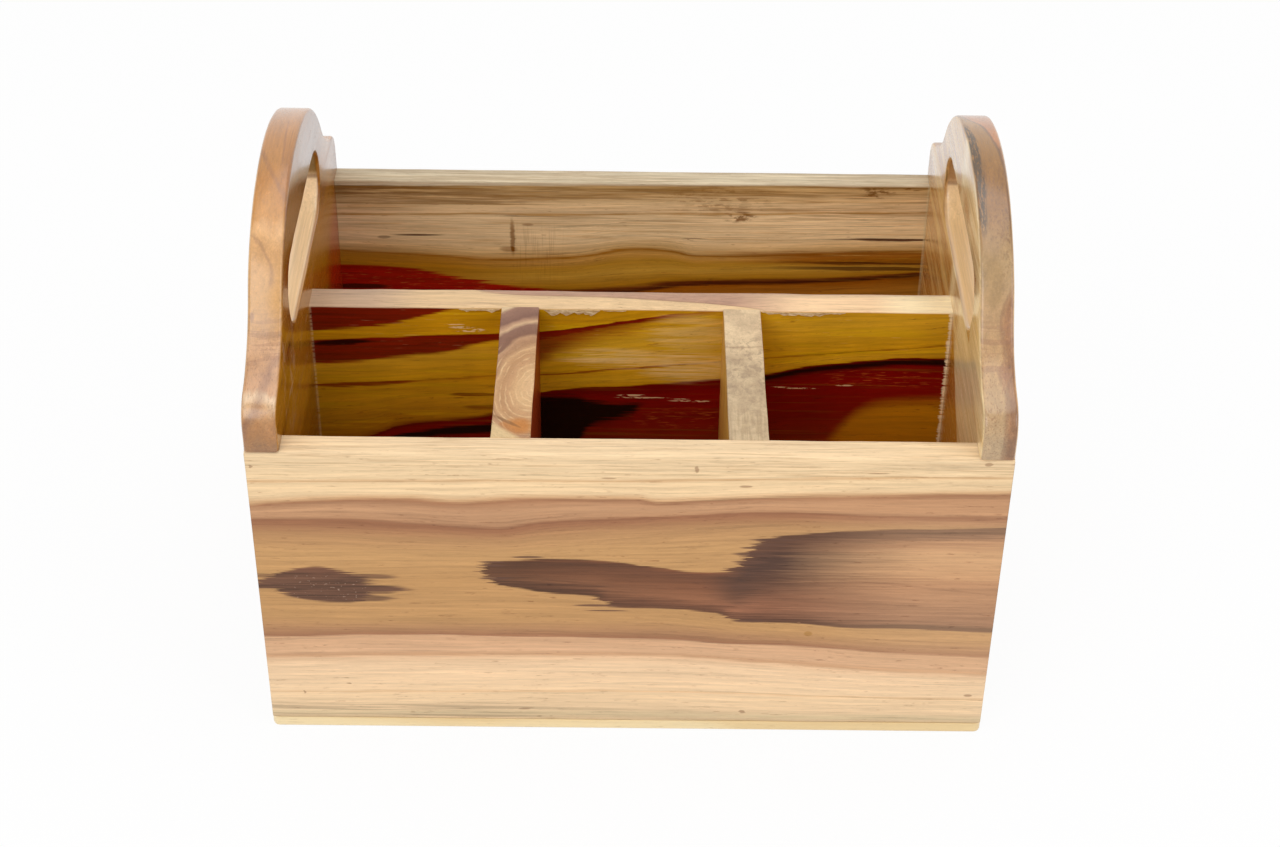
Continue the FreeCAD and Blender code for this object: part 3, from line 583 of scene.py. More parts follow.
    # Glue squeezed from the joints at the ends shows as a broken white thread.
    dashes = f.noise(z * 1.2, x * 0.1, y * 0.2, 3, 0.8)
    thread = (x + dashes.stray(5)).rise(137, 137.5) * dashes.rise(0.36, 0.46)
    faint = (x + dashes.stray(1.6)).rise(-137.2, -137.8) * dashes.rise(0.4, 0.54) * 0.35
    colour.lay((thread * 0.9 + faint).least(1) * y.rise(-5.4, -6.2), (240, 218, 176))
    return lacquered(f, colour, x, level, y, streak=0.26, coat=0, specular=0.12)


def end_grain_figure(name, left):
    """A short divider. Its grain stands upright, so its top shows growth rings cut across."""
    f = Finish(name)
    x, y, z = f.axes
    wander = f.noise(0.06, 0.06, 0.01, 2)
    patchy = f.noise(0.16, 0.1, 0.01, 3, 0.6)
    if left:
        ring_x = (x + 39) * 1.75
        ring_y = y + 64
        distance = f.away(ring_x, ring_y) + wander.stray(9) + patchy.stray(2)
        rings = (distance / 3.9).fract()
        line = abs(rings - 0.5).rise(0.2, 0.03) * patchy.rise(0.36, 0.62)
        bands = f.ramp(distance, 0, 84, [
            (0, 214, 174, 130), (12, 208, 168, 122), (20, 190, 146, 104), (25, 182, 138, 96),
            (29, 198, 156, 112), (33, 164, 122, 88), (36, 184, 142, 106), (38.5, 130, 92, 72),
            (45, 138, 101, 82), (47.5, 204, 168, 130), (49.5, 178, 138, 108), (52, 128, 92, 76),
            (60, 150, 112, 92), (65, 208, 174, 134), (84, 214, 182, 140),
        ])
        colour = f.mix(line * y.rise(-30, -46) * 0.55, bands, (232, 198, 150))
        colour.lay(f.spot(x + patchy.stray(8), y, (-44.5, -91), (6, 5), 0.9) * 0.8, (188, 116, 44))
        crack = f.spot(x, y + x * 0.7 + 33, (-50, -89.5), (6, 1.1), 0.7)
        colour.lay(crack * 0.6, (120, 84, 50))
        colour.lay((y + x * 0.9 + 138.5).rise(2, -2) * 0.9, (218, 188, 140))
        colour.lay((y - x * 0.8 - 31).rise(2, 5) * 0.8, (222, 196, 154))
    else:
        rings = ((y + x * 0.3 + wander.stray(16)) / 8.5).fract()
        line = abs(rings - 0.5).rise(0.24, 0.04)
        curl = f.noise(x * 0.3 + patchy * 3, y * 0.2 + wander * 3, z * 0.02, 3, 0.7)
        cloudy = f.spot(x, y, (49, -52), (15, 24), 0.9)
        grey = curl.rise(0.44, 0.66) * (cloudy * 0.55 + 0.2)
        colour = f.mix(patchy.rise(0.4, 0.6), (187, 162, 129), (203, 178, 142))
        colour.shade(y.rise(-56, -22) * 0.28 + 0.97)
        colour.lay(grey, (158, 134, 108))
        lower = f.noise(0.9, 0.05, 0.02, 2).rise(0.48, 0.6) * y.rise(-70, -84)
        colour.lay(lower * 0.45, (166, 140, 106))
        colour.lay(line * 0.12, (150, 120, 92))
        colour.lay(abs(y + 34 + wander.stray(4)).rise(0.9, 0.2) * 0.35, (150, 118, 92))
    # Down the faces the oiled wood is much darker than on the top, partly through painted shade.
    sides = f.noise(z * 0.01, x * 0.3, y * 0.14, 3)
    oiled_and_shaded = f.ramp(sides, 0.25, 0.75, [
        (0.25, 170, 106, 30), (0.42, 206, 154, 66), (0.58, 216, 170, 86), (0.75, 190, 134, 50),
    ])
    if left:
        oiled_and_shaded.lay(x.rise(-40.6, -39.9) * 0.92, (122, 8, 3))
    colour = f.mix(z.rise(147, 147.9), oiled_and_shaded, colour)
    return lacquered(f, colour, z, x, y, streak=0.16, pore=0.5, specular=0.15)


def side_figure(name, left):
    """A side board. The grain runs from front to back, so the front edge shows rings and pores cut across."""
    f = Finish(name)
    x, y, z = f.axes
    wander = f.noise(0.04, 0.01, 0.03, 2)
    ragged = f.noise(0.5, 0.03, 0.5, 3, 0.6)
    down = z + y
    spread = f.noise(0.16, 0.02, 0.06, 2)
    mottle = f.noise(0.2, 0.05, 0.11, 4, 0.7)
    round_down = down + ragged.stray(6) + spread.stray(18)
    if left:
        across = x + outer_x
        colour = f.ramp(round_down, 30, 250, [
            (30, 136, 98, 74), (40, 162, 118, 74), (47, 174, 122, 68), (53, 180, 128, 76),
            (60, 197, 154, 108), (68, 222, 192, 158), (72, 198, 150, 108), (82, 190, 142, 98),
            (96, 204, 162, 126), (108, 194, 148, 96), (124, 204, 156, 95), (152, 202, 154, 100),
            (162, 219, 171, 117), (172, 195, 138, 66), (196, 184, 125, 54), (210, 180, 126, 62),
            (228, 184, 129, 70), (248, 188, 135, 84),
        ])
        veins = None
        for width, strength, points in (
            (0.8, 0.3, [(62, 14.6), (84, 13.2), (89, 11.4), (98.6, 7.3), (110.5, 3.3), (120, 0)]),
            (0.7, 0.34, [(28, 9), (37, 9.8), (44, 9.2), (50.6, 6.4), (57.6, 3.2), (63, 0)]),
            (1.6, 0.45, [(-60, 0), (-52.6, 0.7), (-42.6, 5.6), (-30, 7.8), (-15.6, 10.6), (-6, 14.3)]),
            (0.35, 0.35, [(104, 10.5), (122, 10), (134, 9.4), (145, 9)]),
        ):
            away = abs(across + spread.stray(3) - f.line(down + mottle.stray(6) - 100, points))
            one = away.rise(width * 2.2, width * 0.2) * (down - 100).rise(points[0][0], points[0][0] + 6)
            one = one * (down - 100).rise(points[-1][0], points[-1][0] - 4) * strength
            veins = one if veins is None else veins.most(one)
        colour.lay(veins, (126, 84, 64))
        colour.lay(f.spot(x, z, (-150.4, 188), (1, 1.3), 0.8) * 0.5, (130, 94, 84))
        dusk = across.rise(8, 14) * abs(down - 200).rise(34, 8)
        colour.lay(dusk * 0.45, (140, 88, 60))
    else:
        across = outer_x - x
        colour = f.ramp(round_down, 30, 250, [
            (30, 180, 156, 128), (44, 192, 168, 136), (58, 182, 153, 116), (66, 185, 155, 115),
            (82, 186, 153, 110), (100, 185, 150, 108), (125, 187, 154, 114), (150, 176, 148, 108),
            (165, 160, 125, 79), (185, 148, 106, 56), (205, 150, 108, 52), (218, 155, 113, 56),
            (228, 158, 117, 62), (250, 168, 128, 76),
        ])
        rind = f.line(down - 100, [
            (-60, 5.5), (-42, 5.3), (-28, 4.6), (-13, 6.8), (-4, 4.1), (10, 5.4), (25, 4.5), (33, 1.6),
            (42, 0.9), (75, 0.9), (105, 0.9), (117.6, 1.6), (128.3, 2.6), (136.5, 3.9), (143.9, 5.6),
            (149.9, 8.4), (153.6, 11.2), (170, 16),
        ])
        rind = rind + mottle.stray(1.6) + spread.stray(2)
        blurred = down.rise(200, 180)
        outer = (rind - across).rise(blurred * -1.3 - 0.3, blurred * 1.7 + 0.7)
        low_tint = f.mix(mottle.rise(0.38, 0.64), (124, 76, 38), (160, 110, 70))
        tint = f.mix(down.rise(222, 232), low_tint, (196, 132, 86))
        colour.lay(outer * y.rise(46, 30).between(0.3, 0.76), tint)
        bark = abs(rind - across).rise(1, 0.2)
        colour.lay(bark * down.rise(150, 176) * 0.55, (96, 68, 50))
        colour.lay(bark * down.rise(140, 128) * 0.22, (122, 78, 52))
        strokes = f.noise(x * 1.2 + spread.stray(4), y * 0.14, z * 0.17, 4, 0.8)
        inner_line = f.line(down - 100, [
            (60, 11.6), (76, 11.8), (85, 12), (98, 11.4), (112, 12.1), (125, 11.9), (139, 12.9), (150, 13.8),
        ])
        width = f.line(down - 100, [
            (60, 0.8), (76, 1.4), (85, 1.6), (98, 1.9), (112, 1.9), (125, 2.2), (139, 1.5), (150, 0.5),
        ])
        squiggle = strokes.rise(0.43, 0.5) * abs(across - inner_line).rise(width + 0.7, width * 0.7)
        squiggle *= down.band(158, 176, 242, 250)
        colour.lay(squiggle * 0.9, (74, 58, 38))
        tongue = f.spot(across + spread.stray(2), down, (9, 138), (4.2, 15), 0.5)
        colour.lay(tongue * 0.6, (160, 131, 88))
        dotted = f.noise(1.2, 0.35, 1.2, 2).rise(0.5, 0.62) * abs(down - 186).rise(34, 18)
        colour.lay(dotted * across.rise(12, 9) * 0.58, (126, 88, 52))
        crust = f.noise(0.6, 0.2, 0.5, 3, 0.7).rise(0.52, 0.62) * across.rise(8, 4)
        colour.lay(crust * abs(down - 165).rise(34, 16) * 0.4, (120, 86, 54))
    # Saw ripples across the front edge, and pores cut across as specks.
    ripple = f.noise(x * 0.05, y * 0.02, z * 1.1 + wander * 4, 1)
    colour.lay(ripple.rise(0.52, 0.6) * abs(down - 98).rise(24, 10) * 0.38, (150, 106, 80))
    speck = f.noise(1.5, 0.08, 1.5, 2).rise(0.56, 0.66)
    colour.lay(speck * abs(down - 66).rise(56, 18) * (0.4 if left else 0.46), (134, 86, 54))
    colour.shade(mottle.stray(0.42 if left else 0.65) + 1)
    colour.lay(1, (0.95, 0.9, 0.82, 1) if left else (0.93, 0.85, 0.72, 1), "MULTIPLY")
    # The outer face, with the grain's long wavy bands.
    depth = inner_x - abs(x)
    bands = f.noise(y * 0.0045, z * 0.03, x * 0.02, 2, 0.45)
    ring = (bands * 9 + z * 0.012).fract()
    late = ring.band(0.25, 0.92, 0.95, 1)
    outside = f.mix(late * 0.7, (206, 160, 108), (152, 104, 64))
    outside.lay(f.noise(y * 0.003, z * 0.022, x * 0.02, 1).rise(0.5, 0.58) * 0.5, (226, 190, 140))
    for height in (86.5, 132.5):
        outside.lay(f.spot(y, z, (0.75, height), (1.4, 1)) * 0.6, (132, 92, 60))
    colour.lay(abs(x).rise(151.5, 152), outside)
    # The inner face: oiled wood, with painted shade that makes it darker towards the compartments.
    grain = f.noise(y * 0.012, z * 0.14, x * 0.2, 4, 0.65)
    if left:
        oiled_and_shaded = f.ramp(grain, 0.3, 0.7, [
            (0.3, 120, 66, 8), (0.43, 164, 108, 18), (0.56, 176, 118, 26), (0.7, 136, 76, 24),
        ])
        oiled_and_shaded.lay(y.rise(8, 20) * 0.8, (166, 104, 2))
        oiled_and_shaded.lay((y + grain.stray(30)).rise(84, 97) * 0.75, (140, 74, 2))
        oiled_and_shaded.lay(f.spot(y + grain.stray(34), z, (84, 112), (30, 26), 0.8) * 0.9, (158, 22, 4))
        oiled_and_shaded.lay(abs(y - 60).rise(20, 4) * grain.rise(0.46, 0.6) * 0.5, (122, 60, 4))
        rub = f.noise(y * 0.22, z * 0.06, x, 3, 0.7).rise(0.54, 0.66) * abs(y + 72).rise(30, 12)
        oiled_and_shaded.lay(rub * z.rise(120, 150) * 0.4, (206, 176, 150))
    else:
        oiled_and_shaded = f.ramp(grain, 0.3, 0.7, [
            (0.3, 232, 194, 130), (0.43, 244, 215, 160), (0.56, 249, 223, 172), (0.7, 232, 190, 130),
        ])
        oiled_and_shaded.lay(y.rise(4, 14) * 0.55, (226, 166, 60))
        oiled_and_shaded.lay(y.rise(4, 14) * grain.rise(0.44, 0.58) * 0.62, (172, 104, 14))
        oiled_and_shaded.lay(abs(y + 12).rise(14, 3) * grain.rise(0.36, 0.56) * 0.6, (176, 112, 30))
    scuff = f.noise(y * 0.05, z * 0.3, x, 3, 0.7).rise(0.58, 0.7) * z.rise(110, 140)
    oiled_and_shaded.lay(scuff * y.rise(40, 0) * 0.3, (214, 186, 160))
    if left:
        oiled_and_shaded.lay(z.rise(186, 202) * (z.rise(219, 211) * 0.25 + 0.45), (118, 64, 6))
        # Painted shade: the lower inner face in front of the long divider is made darker.
        deep = (z + grain.stray(4)).rise(119, 114) * y.rise(4, -4)
        oiled_and_shaded.lay(deep * 0.65, (112, 62, 4))
    else:
        # A painted shadow of the long divider: a darker gold wedge on the inner face in front of it.
        deep = (z - y * 0.72 + grain.stray(5)).rise(153.5, 148.5) * y.rise(4, -4)
        oiled_and_shaded.lay(deep * 0.9, (180, 116, 8))
    colour.lay(depth.rise(-0.9, -0.1), oiled_and_shaded)
    # The bare wall of the hand slot, with painted shade at its back end, where the grain is cut across.
    hole = abs(z - slot_z).rise(slot_radius + 1, slot_radius + 0.4) * abs(y).rise(slot_half + 1, slot_half)
    # Painted shade on the slot's back end, with a dark line along its edge.
    shaded_slot_end = (z + mottle.stray(5)).rise(175.5, 180.5) * y.rise(34, 40)
    wall, shadow = ((239, 204, 158), (132, 98, 46)) if left else ((222, 184, 133), (160, 114, 68))
    bare = f.mix(shaded_slot_end, wall, shadow)
    bare.lay(abs(z - 177.5).rise(1.6, 0.3) * y.rise(34, 40) * 0.6, (116, 72, 30))
    rim = oiled_and_shaded if left else f.mix(0.75, oiled_and_shaded, (190, 142, 86))
    colour.lay(hole * depth.rise(-2.4, -1.9), rim)
    colour.lay(hole * depth.band(-14.2, -13.4, -1.8, -0.8), bare)
    return lacquered(f, colour, y, z, x, streak=0.22, pore=0.4, gloss=0.24, coat=0.62, specular=0.5)


def plain_teak(name, axes, ring_at, spacing, light, dark, streak):
    """A board whose grain runs along the first of its axes, with growth rings round a pith at ring_at in the
    other two."""
    f = Finish(name)
    run, height, wide = (f.axes["xyz".index(axis)] for axis in axes)
    wander = f.noise(run * 0.008, height * 0.02, wide * 0.02, 2)
    distance = f.away(height - ring_at[0] + wander.stray(26), wide - ring_at[1])
    ring = (distance / spacing + wander.stray(0.8)).fract()
    late = ring.band(0.35, 0.95, 0.96, 1)
    zone = f.noise(run * 0.004, height * 0.035, wide * 0.035, 1)
    colour = f.mix(late * 0.75, light, dark)
    colour.lay(zone.rise(0.52, 0.6) * 0.45, dark)
    return lacquered(f, colour, run, height, wide, streak=streak, coat=0.12, specular=0.35)


def splinter_finish():
    """Bare torn fibres: pale and dull, some darker than others."""
    f = Finish("torn_fibre_teak")
    strands = f.noise(0.35, 1, 1.8, 3, 0.7)
    colour = f.ramp(strands, 0.3, 0.7, [(0.3, 150, 110, 64), (0.45, 194, 162, 118), (0.7, 228, 206, 168)])
    return f.close(colour, strands, strands * 0.2 + 0.6, bump=0.5, coat=0, specular=0.2)


def brushed(name, colour, shadow, roughness):
    """Drawn or turned metal, with fine tool lines."""
    f = Finish(name)
    lines = f.noise(6, 0.7, 6, 2)
    worn = f.noise(0.9, 0.9, 0.9, 3)
    shown = f.mix(worn.rise(0.4, 0.7), colour, shadow)
    return f.close(shown, lines, lines.stray(0.2) + roughness, bump=0.2, coat=0, metallic=1)


finishes = {
    "front": front_figure(),
    "back": back_figure(),
    "long_divider": divider_figure(),
    "left_short": end_grain_figure("left_short_divider_teak", True),
    "right_short": end_grain_figure("right_short_divider_teak", False),
    "left_side": side_figure("left_side_teak", True),
    "right_side": side_figure("right_side_teak", False),
    "splinter": splinter_finish(),
    "brad": brushed("brad_steel", (170, 168, 164), (120, 116, 110), 0.34),
    "brass": brushed("screw_brass", (214, 178, 104), (170, 128, 66), 0.28),
}
for board, axes, ring_at, spacing, light, dark, streak in (
    ("floor", "xyz", (-20, 190), 9, (196, 142, 76), (140, 78, 34), 0.2),
    ("base", "xyz", (60, -160), 11, (246, 224, 178), (226, 190, 128), 0.07),
    ("drawer_face", "xzy", (32, 46), 5.5, (212, 164, 112), (156, 104, 66), 0.2),
    ("drawer_side", "yzx", (20, 30), 7, (226, 184, 134), (190, 140, 92), 0.2),
    ("drawer_back", "xzy", (10, -150), 7, (226, 184, 134), (190, 140, 92), 0.2),
    ("drawer_bottom", "xyz", (10, 160), 12, (220, 178, 128), (184, 134, 88), 0.2),
    ("knob", "yzx", (44, 9), 2.6, (176, 120, 76), (112, 70, 44), 0.2),
):
    finishes[board] = plain_teak(board + "_teak", axes, ring_at, spacing, light, dark, streak)


# --- Making pieces ------------------------------------------------------------------------------
def new_piece(name, add_primitive, **settings):
    """A new object, the only one selected."""
    bpy.ops.object.select_all(action="DESELECT")
    add_primitive(**settings)
    piece = bpy.context.object
    piece.name = piece.data.name = name
    return piece


def new_board(name, low, high):
    """A sawn board between two corners given in millimetres, left in edit mode."""
    centre = [(a + b) / 2 * MM for a, b in zip(low, high)]
    piece = new_piece(name, bpy.ops.mesh.primitive_cube_add, size=1, location=centre)
    piece.scale = [(b - a) * MM for a, b in zip(low, high)]
    bpy.ops.object.transform_apply(location=True, rotation=True, scale=True)
    bpy.ops.object.mode_set(mode="EDIT")
    return piece


def pick_edges(piece, wanted):
    """Selects the edges whose ends, in millimetres, wanted(a, b) accepts."""
    bpy.ops.mesh.select_mode(type="EDGE")
    bpy.ops.mesh.select_all(action="DESELECT")
    mesh = bmesh.from_edit_mesh(piece.data)
    for edge in mesh.edges:
        a, b = (vert.co / MM for vert in edge.verts)
        edge.select_set(bool(wanted(a, b)))
    bmesh.update_edit_mesh(piece.data)


def runs(axis, a, b):
    """Whether an edge runs along this axis only."""
    return all(abs(a[i] - b[i]) < 0.01 for i in range(3) if i != axis)


def near(a, b):
    """Whether two places in millimetres are the same but for rounding."""
    return abs(a - b) < 0.1


def saw_into_lengths(piece, axis, cuts):
    pick_edges(piece, lambda a, b: runs(axis, a, b))
    bpy.ops.mesh.subdivide(number_cuts=cuts)


def ease(piece, wanted, width, segments=3):
    """Rounds the arrises that wanted(a, b) picks."""
    pick_edges(piece, wanted)
    bpy.ops.mesh.bevel(offset=width * MM, segments=segments, profile=0.5)


def ease_along(piece, axis, wanted, width, segments=3):
    """Rounds the arrises along an axis that wanted(end) picks."""
    ease(piece, lambda a, b: runs(axis, a, b) and wanted(a), width, segments)


def wear(piece, name, depth, lump):
    """Leaves edit mode for hand sanding: the surface falls a little below its sawn size, unevenly."""
    cloud = bpy.data.textures.new(name, "CLOUDS")
    cloud.noise_scale = lump * MM
    cloud.noise_depth = 1
    bpy.ops.object.mode_set(mode="OBJECT")
    sanding = piece.modifiers.new(name, "DISPLACE")
    sanding.texture = cloud
    sanding.texture_coords = "LOCAL"
    sanding.strength = depth * MM
    sanding.mid_level = 1.0
    bpy.ops.object.modifier_apply(modifier=name)


def done(piece, finish, slot, body, *stands_for):
    """Leaves edit mode, smooths the rounded parts and puts the piece on its body."""
    bpy.ops.object.mode_set(mode="OBJECT")
    bpy.ops.object.shade_smooth_by_angle(angle=math.radians(38))
    piece.data.materials.clear()
    piece.data.materials.append(finishes[finish])
    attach(piece, body)
    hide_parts(*stands_for)
    return piece


def make_face_board(name, front_to_back, low_z, finish, slot):
    """The front or back board, eased along its outer edges and its rim."""
    outer, inner = front_to_back * face_y, front_to_back * rebate_y
    piece = new_board(name, (-outer_x, min(outer, inner), low_z), (outer_x, max(outer, inner), rim))
    saw_into_lengths(piece, 0, long_cuts)
    ease_along(piece, 0, lambda end: near(end.z, rim) and near(end.y, outer), 2.0, 4)
    ease_along(piece, 0, lambda end: near(end.z, rim) and near(end.y, inner), 1.0)
    ease_along(piece, 2, lambda end: near(abs(end.x), outer_x) and near(end.y, outer), 1.1)
    wear(piece, name + "_sanding", 0.55, 34)
    return done(piece, finish, slot, "carcass", name)


def hump_outline():
    """The side board's outline as points (y, z) in order. Each arc of the hump has its radius, its slope
    where it starts and ends, in degrees, and its number of steps."""
    crown, haunch = (104.23, 0.0, 18.4, 14), (71.7, 18.4, 56.5, 16)
    cove, shoulder = (57.6, 56.5, 16.1, 14), (11.6, 16.1, 90.0, 9)
    y, z = 0.0, crown_z
    half = [(y, z)]
    for radius, start, end, steps in (crown, haunch, cove, shoulder):
        first = math.radians(start)
        for i in range(1, steps + 1):
            slope = math.radians(start + (end - start) * i / steps)
            run = radius * abs(math.sin(slope) - math.sin(first))
            drop = radius * abs(math.cos(first) - math.cos(slope))
            half.append((y + run, z - drop))
        y, z = half[-1]
    half += [(face_y, shoulder_high), (face_y, shoulder_low), (face_y, rim)]
    half += [(shoulder_end, rim), (rebate_y, rim)]
    half += [(rebate_y, rim - drop) for drop in (4, 8, 14, 22, 32, 44, 58, 74, 92, 112)]
    half += [(rebate_y, base_top)]
    half += [(run, base_top) for run in (78, 58, 38, 18)]
    return [(-a, b) for a, b in reversed(half[1:])] + half


def slot_point(y, z):
    """The point of the round-ended hand slot in the same direction from its middle as (y, z)."""
    angle = math.atan2(z - slot_z, y)
    across, up = math.cos(angle), math.sin(angle)
    middle = slot_half - slot_radius
    straight = slot_radius / abs(up) if abs(up) > 1e-6 else 1e6
    if abs(across) * straight <= middle:
        return across * straight, slot_z + up * straight
    reach = middle * abs(across) + math.sqrt(slot_radius**2 - (middle * up) ** 2)
    return across * reach, slot_z + up * reach


def make_side(name, hand, finish):
    """A side board: its outline is drawn in to the hand slot and given its thickness, then eased."""
    outline = hump_outline()
    x_low = inner_x if hand > 0 else -outer_x
    piece = new_piece(name, bpy.ops.mesh.primitive_circle_add, vertices=len(outline), radius=0.1)
    bpy.ops.object.mode_set(mode="EDIT")
    mesh = bmesh.from_edit_mesh(piece.data)
    mesh.verts.ensure_lookup_table()
    for vert, (y, z) in zip(mesh.verts, outline):
        vert.co = Vector((x_low, y, z)) * MM
    bpy.ops.mesh.select_all(action="SELECT")
    bpy.ops.mesh.extrude_edges_move()
    mesh = bmesh.from_edit_mesh(piece.data)
    for vert in mesh.verts:
        if vert.select:
            y, z = slot_point(vert.co.y / MM, vert.co.z / MM)
            vert.co = Vector((x_low, y, z)) * MM
    bpy.ops.mesh.select_all(action="SELECT")
    bpy.ops.mesh.extrude_region_move(TRANSFORM_OT_translate={"value": ((outer_x - inner_x) * MM, 0, 0)})
    bpy.ops.mesh.select_all(action="SELECT")
    bpy.ops.mesh.normals_make_consistent(inside=False)

    def on_slot(v):
        return abs(v.y) < slot_half + 0.1 and abs(v.z - slot_z) < slot_radius + 0.1

    def round_hump(a, b):
        level = abs(a.x - b.x) < 0.01
        high = min(a.z, b.z) > rim - 0.05 and max(a.z, b.z) > rim + 0.5
        return level and high and not (on_slot(a) or on_slot(b))

    ease(piece, round_hump, 1.7, 4)
    ease(piece, lambda a, b: abs(a.x - b.x) < 0.01 and on_slot(a) and on_slot(b), 2.0, 4)
    wear(piece, name + "_sanding", 0.35, 26)
    return done(piece, finish, "side_teak", "carcass", name)


def make_long_divider():
    reach = inner_x + joint_bite
    piece = new_board("long_divider", (-reach, divider_front, floor_top), (reach, divider_back, rim))
    saw_into_lengths(piece, 0, long_cuts)
    ease_along(piece, 0, lambda end: end.z > rim - 0.1, 1.1)
    wear(piece, "divider_sanding", 0.7, 30)
    return done(piece, "long_divider", "divider_teak", "carcass", "long_divider")


def make_short_divider(name, hand, finish):
    low_x, high_x = sorted((hand * short_in, hand * short_out))
    front, back = -rebate_y - joint_bite, divider_front + joint_bite
    piece = new_board(name, (low_x, front, floor_top), (high_x, back, rim))
    saw_into_lengths(piece, 1, 15)
    ease_along(piece, 1, lambda end: end.z > rim - 0.1, 0.7)
    wear(piece, name + "_sanding", 0.5, 22)
    return done(piece, finish, "divider_teak", "carcass", name)


def make_base():
    piece = new_board("base_board", (-outer_x, -face_y, 0), (outer_x, face_y, base_top))
    ease_along(piece, 2, lambda end: True, 3.0, 5)
    ease(piece, lambda a, b: a.z < 0.1 and b.z < 0.1 and (a - b).length > 0.01, 1.3, 3)
    return done(piece, "base", "base_teak", "carcass", "base_board")


def make_drawer_face():
    low = (-outer_x, drawer_face_back, drawer_face_low)
    piece = new_board("drawer_face", low, (outer_x, face_y, drawer_face_high))
    saw_into_lengths(piece, 0, long_cuts)
    ease_along(piece, 0, lambda end: end.y > face_y - 0.1, 1.4, 4)
    ease_along(piece, 2, lambda end: abs(end.y - face_y) < 1.6 and near(abs(end.x), outer_x), 1.0)
    wear(piece, "drawer_face_sanding", 0.4, 34)
    return done(piece, "drawer_face", "drawer_face_teak", "drawer", "drawer_face")


def make_knob():
    """Turned on a lathe: a ring drawn out along its axis, narrowed and widened at each station. A station
    is a distance from the face and a radius."""
    stations = [
        (0.0, 6.9), (0.5, 7.5), (1.7, 7.5), (2.5, 6.8), (3.2, 5.9), (5.0, 5.3), (8.2, 5.1), (10.6, 5.6),
        (12.3, 7.4), (13.8, 9.6), (15.3, 11.0), (16.6, 11.5), (17.7, 11.1), (18.7, 9.6), (19.5, 6.9),
        (19.9, 3.6), (20.0, 1.4),
    ]
    piece = new_piece(
        "drawer_knob", bpy.ops.mesh.primitive_circle_add, vertices=40, radius=stations[0][1] * MM,
        location=(0, face_y * MM, knob_z * MM), rotation=(math.pi / 2, 0, 0),
    )
    bpy.ops.object.transform_apply(location=True, rotation=True, scale=True)
    bpy.ops.object.mode_set(mode="EDIT")
    bpy.ops.mesh.select_all(action="SELECT")
    for (here, radius), (there, next_radius) in zip(stations, stations[1:]):
        bpy.ops.mesh.extrude_edges_move(TRANSFORM_OT_translate={"value": (0, (there - here) * MM, 0)})
        grow = next_radius / radius
        at = (0, (face_y + there) * MM, knob_z * MM)
        bpy.ops.transform.resize(value=(grow, 1, grow), center_override=at)
    bpy.ops.mesh.edge_face_add()
    pick_edges(piece, lambda a, b: a.y < face_y + 0.01 and b.y < face_y + 0.01)
    bpy.ops.mesh.edge_face_add()
    bpy.ops.mesh.select_all(action="SELECT")
    bpy.ops.mesh.normals_make_consistent(inside=False)
    bpy.ops.object.mode_set(mode="OBJECT")
    rounding = piece.modifiers.new("turning", "SUBSURF")
    rounding.levels = rounding.render_levels = 1
    bpy.ops.object.modifier_apply(modifier="turning")
    return done(piece, "knob", "knob_teak", "drawer", "drawer_knob")


def make_torn_edge():
    """Splinters under the long divider's front arris, where its top was cut and the fibres tore."""
    rng = random.Random(11)
    top = rim - 1.0
    strips = []
    for start, end, drop in ((-74.0, -56.6, 2.7), (-37.6, -13.5, 3.0), (-12.0, -2.0, 1.0), (56.6, 92.0, 1.7)):
        strip = new_piece(
            "divider_torn_edge", bpy.ops.mesh.primitive_grid_add, size=MM,
            x_subdivisions=int((end - start) / fibre_width), y_subdivisions=4, rotation=(math.pi / 2, 0, 0),
            location=((start + end) / 2 * MM, (divider_front - 0.12) * MM, (top - drop / 2) * MM),
        )
        strip.scale = (end - start, drop, 1)
        bpy.ops.object.transform_apply(location=True, rotation=True, scale=True)
        strips.append((strip, start, end, drop))
    for strip, start, end, drop in strips:
        fibres, last = {}, 0.6
        for vert in strip.data.vertices:
            x = round(vert.co.x / MM, 1)
            if x not in fibres:
                ends = min(1.0, (x - start) / 4.0, (end - x) / 4.0)
                last += rng.uniform(-0.34, 0.34)
                last = min(1.0, max(0.2, last))
                fibres[x] = max(0.05, ends) * last, rng.uniform(-0.3, 0.3)
            share = (top - vert.co.z / MM) / drop
            length, lean = fibres[x]
            vert.co.z = (top - share * drop * length) * MM
            vert.co.x += lean * share * MM
            vert.co.y -= share * length * rng.uniform(0.1, 0.55) * MM
    bpy.ops.object.select_all(action="DESELECT")
    for strip, *_ in strips:
        strip.select_set(True)
    piece = strips[0][0]
    bpy.context.view_layer.objects.active = piece
    bpy.ops.object.join()
    skin = piece.modifiers.new("fibre_skin", "SOLIDIFY")
    skin.thickness = 0.35 * MM
    skin.offset = -1.0
    bpy.ops.object.modifier_apply(modifier="fibre_skin")
    piece.data.materials.append(finishes["splinter"])
    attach(piece, "carcass")


make_torn_edge()
make_face_board("front_board", -1, base_top, "front", "front_teak")
make_face_board("back_board", 1, floor_low, "back", "back_teak")
make_side("left_side", -1, "left_side")
make_side("right_side", 1, "right_side")
make_long_divider()
make_short_divider("left_short_divider", -1, "left_short")
make_short_divider("right_short_divider", 1, "right_short")
make_base()
make_drawer_face()
make_knob()

kept = {
    "compartment_floor": "floor",
    "drawer_left_side": "drawer_side",
    "drawer_right_side": "drawer_side",
    "drawer_back": "drawer_back",
    "drawer_bottom": "drawer_bottom",
    "knob_screw": "brass",
    **{where + "_brads": "brad" for where in ("front", "back", "divider", "base", "drawer")},
}
for node, finish in kept.items():
    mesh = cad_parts[node].data
    mesh.materials.clear()
    mesh.materials.append(finishes[finish])


